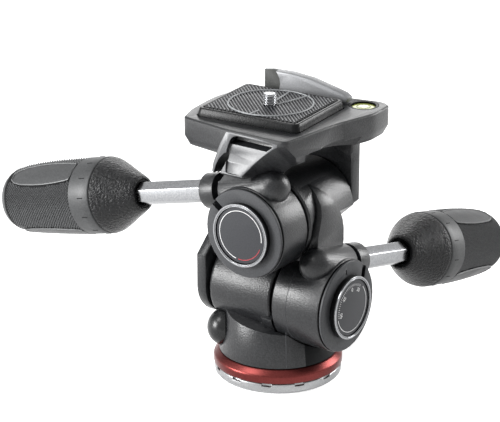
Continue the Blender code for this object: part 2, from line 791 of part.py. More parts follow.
def face_plate(face, height, place):
    radius = face_ring_radius - face_ring_wall - play
    foot = face + play
    top = face + height + play - face_plate_set_back
    return turned([(0, foot), (radius, foot), (radius, top), (0, top)], place)


def clamp_boss(centre, split, collar_end, place):
    """Round boss of a clamp bolt, with a ball end at the nut and a collar at the handle."""
    profile = []
    for share_out, share_down in arc(1, math.pi / 2, 0, 6):
        if share_out < pole_share:
            share_out = 0
        profile.append((boss_radius * share_out, centre - boss_radius * share_down))
    profile += [(boss_radius, split + play), (collar_radius, split + collar_step),
                (collar_radius, collar_end - collar_edge), (collar_radius - collar_edge, collar_end),
                (0, collar_end)]
    return turned(profile, place @ Matrix.Rotation(boss_turn, 4, "Z"), boss_steps)


def bolt_room(collar_end, place):
    profile = [(0, nut_pocket_start), (nut_pocket_radius, nut_pocket_start),
               (nut_pocket_radius, nut_pocket_end), (bolt_bore_radius, nut_pocket_end),
               (bolt_bore_radius, collar_end + bolt_bore_overrun),
               (0, collar_end + bolt_bore_overrun)]
    return turned(profile, place, steps_small)


def drum_room(start, face, place):
    radius = drum_radius + play
    return turned([(0, start), (radius, start), (radius, face), (0, face)], place, steps_large)


def clamp_nut(place):
    outer = turned([(0, nut_pocket_start + play), (nut_radius, nut_pocket_start + play),
                    (nut_radius, nut_pocket_end - play), (0, nut_pocket_end - play)], place, hex_sides)
    inner = thread_radius + play
    bore = turned([(0, nut_pocket_start), (inner, nut_pocket_start), (inner, nut_pocket_end),
                   (0, nut_pocket_end)], place, steps_small)
    return carve(outer, bore)


def left_arm():
    bottom = [(across, arm_depth_share * down) for across, down in arc(arm_radius, -math.pi, 0, 20)]
    upper = shifted([(arm_radius, -arm_shoulder_drop), arm_back_taper, (arm_top_back, 0),
                     (arm_top_front, 0), arm_front_taper, (-arm_radius, -arm_shoulder_drop)],
                    0, crown_top - arm_top_drop - tilt_height)
    return prism([*bottom, *upper], arm_left, arm_right, tilt_frame, arm_edge)


def crown():
    left = arm_left + crown_set_in - roll_offset_x
    foot = tilt_height + crown_foot - roll_height
    top = crown_top - roll_height
    outline = [(left, foot), (left, top - crown_corner_drop), (crown_corner_x, top), (0, top),
               (0, foot)]
    return prism(outline, -crown_back, -crown_front, roll_frame, crown_edge)


def upper_barrel():
    radius = barrel_top_radius
    front = -barrel_top_front
    back = -barrel_top_back
    return turned([(0, back), (radius - casting_edge, back), (radius, back + casting_edge),
                   (radius, front - casting_edge), (radius - casting_edge, front), (0, front)],
                  roll_frame)


def cheek():
    """Cheek that joins the tilt clamp to the upper barrel, curved in both views."""
    rise = roll_height - tilt_height
    front_view = prism([(cheek_profile[-1][0], cheek_foot - rise),
                        (cheek_profile[0][0], cheek_foot - rise), *cheek_profile],
                       -cheek_reach, cheek_reach, roll_frame)
    side_view = prism([(cheek_side[-1][0], cheek_foot), (cheek_side[0][0], cheek_foot),
                       *shifted(cheek_side, 0, rise)], 0, cheek_reach, tilt_frame)
    return common(front_view, side_view)


def tilt_fork():
    top = upper_barrel()
    top = fuse(top, crown())
    saddle = turned([(0, 2 * arm_left), (barrel_radius + saddle_clearance, 2 * arm_left),
                     (barrel_radius + saddle_clearance, tilt_clamp_start - play),
                     (0, tilt_clamp_start - play)], tilt_frame)
    groove = prism(shifted(crescent, 0, roll_height - tilt_height), crescent_floor, cheek_reach,
                   tilt_frame)
    flank = prism(flank_outline, -cheek_reach, -flank_front, roll_frame)
    top = carve(top, saddle, groove, flank)
    clamp = turned([(0, tilt_clamp_start), *clamp_outline(tilt_clamp_radius, tilt_clamp_start,
                                                          tilt_clamp_face), (0, tilt_clamp_face)],
                   tilt_frame)
    body = fuse(top, left_arm(), cheek(), clamp,
                clamp_boss(tilt_boss_centre, tilt_slit_end, tilt_collar_end, tilt_bolt))
    room = drum_room(tilt_clamp_start - casting_edge, tilt_clamp_face + casting_edge, tilt_frame)
    shaft_hole = turned([(0, -leg_back), (shaft_radius + play, -leg_back),
                         (shaft_radius + play, roll_clamp_face), (0, roll_clamp_face)],
                        roll_frame, steps_medium)
    bush_hole = turned([(0, arm_left - casting_edge), (arm_recess_radius, arm_left - casting_edge),
                        (arm_recess_radius, arm_left + arm_recess_depth),
                        (arm_bush_radius + play, arm_left + arm_recess_depth),
                        (arm_bush_radius + play, arm_right + casting_edge),
                        (0, arm_right + casting_edge)], tilt_frame, steps_medium)
    slit = box((slit_root, tilt_clamp_start - casting_edge - tilt_bolt_x, tilt_slit_start),
               (slit_top, tilt_clamp_face + casting_edge - tilt_bolt_x, tilt_slit_end), tilt_bolt)
    mark_place = tilt_frame @ Matrix.Rotation(index_turn, 4, "Z")
    mark = box((index_radius - index_length / 2, -index_width / 2, tilt_clamp_face - index_depth),
               (index_radius + index_length / 2, index_width / 2, tilt_clamp_face + index_depth),
               mark_place)
    return carve(body, room, shaft_hole, bush_hole, slit, bolt_room(tilt_collar_end, tilt_bolt), mark)


def clamp_outline(radius, start, face):
    disc_radius = radius - disc_inset
    disc_foot = face - disc_thickness
    return [(radius - casting_edge, start), (radius, start + casting_edge),
            (radius, disc_foot - disc_groove - disc_inset / 2),
            (radius - disc_inset / 2, disc_foot - disc_groove),
            (radius - disc_groove_depth, disc_foot - disc_groove),
            (radius - disc_groove_depth, disc_foot), (disc_radius, disc_foot),
            (disc_radius, face - disc_inset / 2), (disc_radius - disc_inset / 2, face)]


def arm_bush():
    inner = shaft_radius + play
    low = arm_left + arm_recess_depth
    return carve(turned([(0, low), (arm_bush_radius, low), (arm_bush_radius, arm_right),
                         (0, arm_right)], tilt_frame, steps_medium),
                 turned([(0, low - play), (inner, low - play), (inner, arm_right + play),
                         (0, arm_right + play)], tilt_frame, steps_medium))


def arm_cover():
    high = arm_left - play
    low = high - cover_height
    return turned([(0, low), (cover_radius - cover_edge, low), (cover_radius, low + cover_edge),
                   (cover_radius, high), (0, high)], tilt_frame)


def platform():
    outline = rounded(platform_outline, platform_corner)
    underside = rounded(inset(platform_outline, platform_chamfer), platform_corner)
    top = rounded(inset(platform_outline, platform_edge), platform_corner)
    deck = stack([(underside, platform_underside), (outline, platform_band_foot),
                  (outline, platform_top - platform_edge), (top, platform_top)], world)
    rise = roll_height - tilt_height
    web = prism(web_outline, 0, 2 * roll_clamp_face, roll_frame)
    web = common(web, prism(shifted(web_side, 0, rise), -cheek_reach, cheek_reach, tilt_frame))
    pocket = prism(rounded(pocket_outline, pocket_corner), 0, 2 * roll_clamp_face, roll_frame)
    pocket = common(pocket, prism(shifted(pocket_side, 0, rise), -cheek_reach, cheek_reach,
                                  tilt_frame))
    end = arc(leg_end_radius, -3 * math.pi / 4, -math.pi / 4, 10)
    leg_top = platform_rise - platform_thickness + leg_overlap
    leg_outline = [(-leg_half_width, leg_shoulder), *end, (leg_half_width, leg_shoulder),
                   (leg_half_width, leg_top), (-leg_half_width, leg_top)]
    leg = prism(leg_outline, -leg_back, -leg_front, roll_frame, leg_edge)
    clamp = turned([(0, roll_clamp_start), *clamp_outline(roll_clamp_radius, roll_clamp_start,
                                                          roll_clamp_face), (0, roll_clamp_face)],
                   roll_frame)
    boss = clamp_boss(roll_boss_centre, roll_slit_end, roll_collar_end, roll_bolt)
    rib = box((*rib_low, rib_back), (*rib_high, rib_front), roll_frame)
    body = carve(fuse(deck, web, rib), gusset_cutter())
    body = fuse(body, leg, clamp, boss)

    room = drum_room(roll_clamp_start - casting_edge, roll_clamp_face + casting_edge, roll_frame)
    leg_hole = turned([(0, -leg_back - casting_edge), (arm_recess_radius, -leg_back - casting_edge),
                       (arm_recess_radius, -leg_back + leg_recess_depth),
                       (arm_bush_radius + play, -leg_back + leg_recess_depth),
                       (arm_bush_radius + play, -leg_front + casting_edge),
                       (0, -leg_front + casting_edge)], roll_frame, steps_medium)
    slit = box((roll_slit_foot, -roll_clamp_face - casting_edge - roll_bolt_y, roll_slit_start),
               (slit_top, -roll_clamp_start + casting_edge - roll_bolt_y, roll_slit_end), roll_bolt)
    radial = box((roll_slit_root, -roll_slit_width / 2, roll_clamp_start - casting_edge),
                 (roll_slit_bend, roll_slit_width / 2, roll_clamp_face + casting_edge),
                 roll_frame @ Matrix.Rotation(roll_slit_turn, 4, "Z"))
    relief = prism(rounded(relief_outline, pocket_corner), roll_clamp_start - casting_edge,
                   roll_clamp_face + casting_edge, roll_frame)
    seat = prism(rectangle(plate_length + 2 * seat_margin, plate_width + 2 * seat_margin,
                           plate_corner), platform_top - seat_depth, platform_top + seat_depth,
                 plate_place())
    level_hole = turned([(0, platform_top - level_depth - play),
                         (level_radius + play, platform_top - level_depth - play),
                         (level_radius + play, platform_top + play), (0, platform_top + play)],
                        level_place_matrix(), steps_medium)
    pin_hole = turned([(0, pin_foot - play), (pin_radius + play, pin_foot - play),
                       (pin_radius + play, platform_top + play), (0, platform_top + play)],
                      lever_place(), steps_small)
    return carve(body, room, leg_hole, slit, radial, relief, seat, level_hole, pin_hole,
                 bolt_room(roll_collar_end, roll_bolt), pocket, *full_roll_room())


def full_roll_room():
    """Room in the platform for the tilt clamp, its ring, ball and rod at the full roll."""
    back = roll_frame @ Matrix.Rotation(roll_limit, 4, "Z") @ roll_frame.inverted()
    clamp_reach = tilt_clamp_radius + scoop_clearance
    ring_reach = face_ring_radius + 2 * play
    ring_end = tilt_clamp_face + tilt_ring_height + 3 * play
    clamp = turned([(0, scoop_start), (clamp_reach, scoop_start), (clamp_reach, scoop_end),
                    (ring_reach, scoop_end), (ring_reach, ring_end), (0, ring_end)],
                   back @ tilt_frame)
    ball_reach = boss_radius + 2 * play
    rod_reach = rod_flats / 2 / math.cos(math.pi / hex_sides) + 2 * play
    profile = []
    for share_out, share_down in arc(1, math.pi / 2, 0, 6):
        if share_out < pole_share:
            share_out = 0
        profile.append((ball_reach * share_out, tilt_boss_centre - ball_reach * share_down))
    profile += [(ball_reach, 0), (rod_reach, 0), (rod_reach, leg_back), (0, leg_back)]
    return clamp, turned(profile, back @ tilt_bolt, boss_steps)


def gusset_cutter():
    """Room below the front right corner, its upper side leaning back, right and down."""
    layers = []
    for height, curve in ((gusset_back, gusset_back_curve), (gusset_front, gusset_front_curve),
                          (gusset_end, gusset_end_curve)):
        outline = [(curve[0][0], gusset_foot), *curve, (gusset_side, curve[-1][1]),
                   (gusset_side, gusset_foot)]
        layers.append((outline, height))
    return stack(layers, roll_frame)


def plate_place():
    return Matrix.Translation((*plate_centre, 0)) @ Matrix.Rotation(plate_turn, 4, "Z")


def level_place_matrix():
    return Matrix.Translation((*level_place, 0))


def lever_place():
    return Matrix.Translation((*lever_pivot, 0)) @ Matrix.Rotation(plate_turn, 4, "Z")


def leg_bush():
    inner = shaft_radius + play
    low = -leg_back + leg_recess_depth
    high = -leg_front
    return carve(turned([(0, low), (arm_bush_radius, low), (arm_bush_radius, high), (0, high)],
                        roll_frame, steps_medium),
                 turned([(0, low - play), (inner, low - play), (inner, high + play),
                         (0, high + play)], roll_frame, steps_medium))


def leg_cover():
    high = -leg_back - play
    low = high - tower_cover_height
    return turned([(0, low), (leg_cover_radius - cover_edge, low),
                   (leg_cover_radius, low + cover_edge), (leg_cover_radius, high), (0, high)],
                  roll_frame)


def level_housing():
    foot = platform_top - level_depth
    floor = foot + level_wall
    return turned([(0, foot), (level_radius, foot), (level_radius, platform_top),
                   (level_radius - level_wall, platform_top), (level_radius - level_wall, floor),
                   (0, floor)], level_place_matrix(), steps_medium)


def level_vial():
    foot = platform_top - level_depth + level_wall + play
    radius = level_radius - level_wall - play
    top = platform_top - level_set_back
    profile = [(0, foot), (radius, foot), (radius, top - level_dome)]
    for share_out, share_up in arc(1, math.pi / 6, math.pi / 2, 3):
        if share_out < pole_share:
            share_out = 0
        profile.append((radius * share_out, top - level_dome + level_dome * share_up))
    return turned(profile, level_place_matrix(), steps_medium)


def lever_pin():
    return turned([(0, pin_foot), (pin_radius, pin_foot), (pin_radius, pin_top), (0, pin_top)],
                  lever_place(), steps_small)


def release_lever():
    upright = (lever_place() @ Matrix.Translation((0, 0, platform_top))
               @ roll_frame.to_3x3().to_4x4())
    front = lever_thickness / 2
    body = prism(lever_profile, -front, front, upright, lever_edge)
    scoop = turned([(0, front - lever_scoop_depth), (lever_scoop_radius, front - lever_scoop_depth),
                    (lever_scoop_radius, front + lever_scoop_depth),
                    (0, front + lever_scoop_depth)],
                   upright @ Matrix.Translation((*lever_scoop_centre, 0)), steps_medium)
    hole = turned([(0, platform_top), (pin_radius + play, platform_top),
                   (pin_radius + play, pin_top + play), (0, pin_top + play)],
                  lever_place(), steps_small)
    return carve(body, scoop, hole)


def quick_plate():
    foot = platform_top - seat_depth + play
    wide = rectangle(plate_length, plate_width, plate_corner)
    narrow = rectangle(plate_length - 2 * plate_flare, plate_width - 2 * plate_flare, plate_corner)
    body = stack([(wide, foot), (wide, plate_waist), (narrow, plate_top)], plate_place())
    pad_room = prism(pad_outline(0), plate_top - pad_thickness, plate_top + pad_thickness,
                     plate_place())
    place = Matrix.Translation((*camera_screw_place, 0))
    bore = camera_screw_radius + play
    head = camera_screw_head_radius + play
    head_top = foot + camera_screw_head_height + 2 * play
    screw_room = turned([(0, foot - play), (head, foot - play), (head, head_top), (bore, head_top),
                         (bore, plate_top + play), (0, plate_top + play)], place, steps_medium)
    return carve(body, pad_room, screw_room)


def pad_outline(margin):
    reach = 2 * (plate_flare + plate_rim + margin)
    return rectangle(plate_length - reach, plate_width - reach, pad_corner)


def plate_pad():
    low = plate_top - pad_thickness + play
    body = prism(pad_outline(play), low, plate_top + pad_proud, plate_place())
    place = Matrix.Translation((*camera_screw_place, 0))
    radius = camera_screw_radius + 2 * play
    hole = turned([(0, low - play), (radius, low - play), (radius, plate_top + pad_thickness),
                   (0, plate_top + pad_thickness)], place, steps_medium)
    return carve(body, hole)


def camera_screw():
    foot = platform_top - seat_depth + 2 * play
    head_top = foot + camera_screw_head_height
    radius = camera_screw_radius
    return turned([(0, foot), (camera_screw_head_radius, foot),
                   (camera_screw_head_radius, head_top), (radius, head_top),
                   (radius, camera_screw_top - camera_screw_chamfer),
                   (radius - camera_screw_chamfer, camera_screw_top), (0, camera_screw_top)],
                  Matrix.Translation((*camera_screw_place, 0)), steps_medium)


def handle_rod(collar_end, place):
    corner = rod_flats / 2 / math.cos(math.pi / 6)
    start = collar_end + play
    bar = turned([(0, start), (corner, start), (corner, rod_end - rod_chamfer),
                  (corner - rod_chamfer, rod_end), (0, rod_end)], place, hex_sides)
    thread = turned([(0, thread_tip), (thread_radius - thread_relief, thread_tip),
                     (thread_radius, thread_tip + thread_relief), (thread_radius, start + play),
                     (0, start + play)], place, steps_small)
    return fuse(bar, thread)


def grip_cone(start, place):
    """Bell shaped front of a grip, hollow from its back."""
    outer = [(radius, start + along) for along, radius in cone_stations]
    end = start + cone_length
    inner = [(core_radius + play, end), (core_radius + play, start + cone_lip),
             (cone_bore_radius, start + cone_lip), (cone_bore_radius, start)]
    return turned([*outer, *inner], place, grip_steps)


def grip_collet(start, place):
    foot = start + play
    end = start + cone_lip
    return turned([(collet_bore_radius, foot), (collet_radius, foot), (collet_radius, end),
                   (collet_bore_radius, end)], place, steps_medium)


def grip_core(start, place):
    """Blind tube that the rod slides into, closed at its outer end."""
    foot = start + core_start
    return turned([(0, start + core_end), (core_radius, start + core_end), (core_radius, foot),
                   (core_bore_radius, foot), (core_bore_radius, start + core_bore_end),
                   (0, start + core_bore_end)], place, steps_medium)


def grip_sleeve(start, place):
    """Soft sleeve over the outer part of a grip, closed at its end."""
    seam = start + cone_length + sleeve_gap
    outer = [(radius, seam + along) for along, radius in sleeve_stations]
    end = outer[-1][1]
    floor = start + core_end + play
    return turned([(0, end), *reversed(outer), (core_radius + play, seam),
                   (core_radius + play, floor), (0, floor)], place, grip_steps)


def handle(side, collar_end, start, place, holder, paints):
    """Rod, grip and sleeve of one handle, each moving part on its own empty."""
    rod_body = empty(side + "_handle_axis", place, holder)
    grip_body = empty(side + "_grip_axis", place, rod_body)
    sleeve_body = empty(side + "_sleeve_axis", place, grip_body)
    piece(side + "_rod", handle_rod(collar_end, place), paints["rod"], rod_body)
    piece(side + "_grip_cone", grip_cone(start, place), paints["cone"], grip_body)
    piece(side + "_grip_collet", grip_collet(start, place), paints["black"], grip_body)
    piece(side + "_grip_core", grip_core(start, place), paints["black"], grip_body)
    piece(side + "_grip_sleeve", grip_sleeve(start, place), paints["rubber"], sleeve_body)


def build():
    clear_scene()
    paints = {
        "body": paint("body_black", (0.035, 0.035, 0.037), 0.45, 0.0),
        "bright": paint("bright_ring", (0.85, 0.85, 0.86), 0.15, 1.0),
        "dial": paint("dial_grey", (0.06, 0.06, 0.065), 0.5, 0.0),
        "base": paint("base_aluminium", (0.85, 0.85, 0.85), 0.35, 1.0),
        "red": paint("ring_red", (0.33, 0.03, 0.03), 0.3, 0.8),
        "steel": paint("steel", (0.5, 0.5, 0.5), 0.3, 1.0),
        "brass": paint("brass", (0.6, 0.45, 0.2), 0.35, 1.0),
        "rod": paint("rod_chrome", (0.7, 0.7, 0.72), 0.2, 1.0),
        "cone": paint("cone_black", (0.02, 0.02, 0.02), 0.6, 0.0),
        "black": paint("plain_black", (0.02, 0.02, 0.02), 0.5, 0.0),
        "rubber": paint("sleeve_rubber", (0.03, 0.03, 0.03), 0.8, 0.0),
        "plastic": paint("bearing_plastic", (0.7, 0.7, 0.66), 0.5, 0.0),
        "lever": paint("lever_grey", (0.4, 0.4, 0.41), 0.4, 0.2),
        "plate": paint("plate_black", (0.02, 0.02, 0.022), 0.4, 0.3),
        "pad": paint("pad_rubber", (0.04, 0.04, 0.045), 0.8, 0.0),
        "vial": paint("level_vial", (0.7, 0.75, 0.2), 0.1, 0.0),
    }
    base = empty("base", world)
    piece("base_disc", base_disc(), paints["base"], base)
    piece("base_ring", base_ring(), paints["red"], base)
    piece("thread_bush", thread_bush(), paints["brass"], base)
    piece("pan_spindle", pan_spindle(), paints["steel"], base)
    piece("pan_washer", pan_washer(), paints["steel"], base)
    piece("pan_screw", pan_screw(), paints["steel"], base)

    pan = empty("pan_axis", world, base)
    piece("pan_housing", pan_housing(), paints["body"], pan)
    piece("pan_bush", pan_sleeve(), paints["plastic"], pan)
    piece("tilt_shaft", tilt_shaft(), paints["steel"], pan)
    piece("tilt_dial_ring", face_ring(tilt_clamp_face, tilt_ring_height, tilt_frame),
          paints["bright"], pan)
    piece("tilt_dial_plate", face_plate(tilt_clamp_face, tilt_ring_height, tilt_frame),
          paints["dial"], pan)
    piece("tilt_shaft_nut", shaft_nut(tilt_frame, arm_left + arm_recess_depth - play),
          paints["steel"], pan)
    piece("pan_brake_shoe", pan_brake_shoe(), paints["plastic"], pan)

    knob = empty("pan_knob_axis", knob_frame, pan)
    piece("pan_knob", pan_knob(), paints["black"], knob)
    piece("pan_knob_stud", pan_knob_stud(), paints["steel"], knob)

    tilt = empty("tilt_axis", tilt_frame, pan)
    piece("tilt_fork", tilt_fork(), paints["body"], tilt)
    piece("tilt_clamp_nut", clamp_nut(tilt_bolt), paints["steel"], tilt)
    piece("tilt_arm_bush", arm_bush(), paints["plastic"], tilt)
    piece("tilt_arm_cover", arm_cover(), paints["black"], tilt)
    piece("roll_shaft", roll_shaft(), paints["steel"], tilt)
    piece("roll_shaft_nut", shaft_nut(roll_frame, -leg_back + leg_recess_depth - play),
          paints["steel"], tilt)
    piece("roll_badge_ring", face_ring(roll_clamp_face, roll_ring_height, roll_frame),
          paints["bright"], tilt)
    piece("roll_badge_plate", face_plate(roll_clamp_face, roll_ring_height, roll_frame),
          paints["dial"], tilt)
    handle("tilt", tilt_collar_end, tilt_grip_start, tilt_bolt, tilt, paints)

    roll = empty("roll_axis", roll_frame, tilt)
    piece("platform", platform(), paints["body"], roll)
    piece("roll_clamp_nut", clamp_nut(roll_bolt), paints["steel"], roll)
    piece("roll_leg_bush", leg_bush(), paints["plastic"], roll)
    piece("roll_leg_cover", leg_cover(), paints["black"], roll)
    piece("level_housing", level_housing(), paints["black"], roll)
    piece("level_vial", level_vial(), paints["vial"], roll)
    piece("lever_pin", lever_pin(), paints["steel"], roll)
    handle("roll", roll_collar_end, roll_grip_start, roll_bolt, roll, paints)

    lever = empty("lever_axis", lever_place(), roll)
    piece("release_lever", release_lever(), paints["lever"], lever)
    plate = empty("plate_axis", plate_place(), roll)
    piece("quick_plate", quick_plate(), paints["plate"], plate)
    piece("plate_pad", plate_pad(), paints["pad"], plate)
    screw = empty("camera_screw_axis", Matrix.Translation((*camera_screw_place, 0)), plate)
    piece("camera_screw", camera_screw(), paints["bright"], screw)


build()
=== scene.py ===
import math

import bmesh
import bpy
from mathutils import Matrix, Vector


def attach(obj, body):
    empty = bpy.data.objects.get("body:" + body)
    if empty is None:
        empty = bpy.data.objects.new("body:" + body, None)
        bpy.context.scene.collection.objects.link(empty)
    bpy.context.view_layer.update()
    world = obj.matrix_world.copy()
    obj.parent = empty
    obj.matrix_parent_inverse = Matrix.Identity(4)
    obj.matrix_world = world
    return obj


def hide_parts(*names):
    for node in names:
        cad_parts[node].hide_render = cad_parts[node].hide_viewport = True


# Three way pan tilt head: fine pieces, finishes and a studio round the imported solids.

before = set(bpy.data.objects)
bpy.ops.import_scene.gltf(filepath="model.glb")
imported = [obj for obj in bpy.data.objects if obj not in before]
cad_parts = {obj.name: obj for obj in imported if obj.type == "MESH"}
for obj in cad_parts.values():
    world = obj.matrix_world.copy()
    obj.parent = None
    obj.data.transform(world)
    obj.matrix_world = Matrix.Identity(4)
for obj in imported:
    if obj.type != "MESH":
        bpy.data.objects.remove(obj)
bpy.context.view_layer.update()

mm = 0.001
proud = 0.05 * mm  # how far printed marks stand over their plate

# Axes of the head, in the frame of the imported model.
axes = {
    "tiltOrigin": (0, 0, 41.4 * mm),
    "rollOrigin": (4.0 * mm, 0, 79.3 * mm),
    "boltOffset": 18.1 * mm,
    "tiltBoltX": 28.0 * mm,
    "rollBoltY": -22.0 * mm,
    "tiltDroop": math.radians(13),
    "rollDroop": math.radians(14),
}


def placeAlong(origin, along, side):
    zAxis = Vector(along).normalized()
    xAxis = Vector(side).normalized()
    place = Matrix((xAxis, zAxis.cross(xAxis), zAxis)).transposed().to_4x4()
    place.translation = Vector(origin)
    return place


def boltPlace(centre, across, droop):
    outward = across * math.cos(droop) - Vector((0, 0, math.sin(droop)))
    upward = across * math.sin(droop) + Vector((0, 0, math.cos(droop)))
    return placeAlong(Vector(centre) + upward * axes["boltOffset"], outward, upward)


world = Matrix.Identity(4)
tiltPlace = placeAlong(axes["tiltOrigin"], (1, 0, 0), (0, 1, 0))
rollPlace = placeAlong(axes["rollOrigin"], (0, -1, 0), (1, 0, 0))
tiltBolt = boltPlace((axes["tiltBoltX"], 0, axes["tiltOrigin"][2]), Vector((0, 1, 0)), axes["tiltDroop"])
rollBolt = boltPlace((axes["rollOrigin"][0], axes["rollBoltY"], axes["rollOrigin"][2]),
                     Vector((-1, 0, 0)), axes["rollDroop"])


# Finishes, each named for what the surface is and how it was made

grainDepth = 0.3  # relief of a moulded grain, as a share of its size
lineDepth = 0.1  # the same for turned and drawn lines
noiseRange = (0.3, 0.7)  # where nearly all of a noise's values lie


def fromHex(text):
    # The usual sRGB curve, turned to linear light.
    channels = []
    for start in (1, 3, 5):
        value = int(text[start:start + 2], 16) / 255
        channels.append(value / 12.92 if value <= 0.04045 else ((value + 0.055) / 1.055) ** 2.4)
    return (*channels, 1)


def addNode(tree, kind, settings=None, inputs=None):
    node = tree.nodes.new(kind)
    for name, value in (settings or {}).items():
        setattr(node, name, value)
    for name, value in (inputs or {}).items():
        if isinstance(value, bpy.types.NodeSocket):
            tree.links.new(value, node.inputs[name])
        else:
            node.inputs[name].default_value = value
    return node


def startFinish(name):
    material = bpy.data.materials.new(name)
    material.use_nodes = True
    tree = material.node_tree
    return material, tree, tree.nodes["Principled BSDF"]


def blend(tree, factor, first, second):
    mix = addNode(tree, "ShaderNodeMix", {"data_type": "RGBA"}, {"Factor": factor})
    mix.inputs["A"].default_value = fromHex(first)
    mix.inputs["B"].default_value = fromHex(second)
    return mix.outputs["Result"]


def spread(tree, value, low, high):
    return addNode(tree, "ShaderNodeMapRange", {}, {
        "Value": value, "From Min": noiseRange[0], "From Max": noiseRange[1],
        "To Min": low, "To Max": high,
    }).outputs["Result"]


def noise(tree, sizeInMm, detail=3.0):
    where = addNode(tree, "ShaderNodeTexCoord").outputs["Object"]
    return addNode(tree, "ShaderNodeTexNoise", {}, {
        "Vector": where, "Scale": 1 / (sizeInMm * mm), "Detail": detail,
    }).outputs["Fac"]


def coverSurface(tree, shader, look, pattern, glossPattern, depth):
    colour = blend(tree, spread(tree, pattern, 0.0, 1.0), look["dark"], look["light"])
    bump = addNode(tree, "ShaderNodeBump", {}, {
        "Height": pattern, "Strength": look["relief"], "Distance": depth})
    tree.links.new(colour, shader.inputs["Base Color"])
    tree.links.new(spread(tree, glossPattern, *look["gloss"]), shader.inputs["Roughness"])
    tree.links.new(bump.outputs["Normal"], shader.inputs["Normal"])


def mouldedFinish(name, look):
    material, tree, shader = startFinish(name)
    shader.inputs["Metallic"].default_value = look.get("metallic", 0.0)
    shader.inputs["Specular IOR Level"].default_value = look.get("specular", 0.5)
    grain = noise(tree, look["grain"])
    cloud = noise(tree, look["cloud"], detail=2.0)
    coverSurface(tree, shader, look, grain, cloud, look["grain"] * mm * look.get("depth", grainDepth))
    return material


def metalFinish(name, look):
    material, tree, shader = startFinish(name)
    shader.inputs["Metallic"].default_value = 1.0
    lines = noise(tree, look["line"], detail=2.0)
    coverSurface(tree, shader, look, lines, lines, look["line"] * mm * lineDepth)
    return material


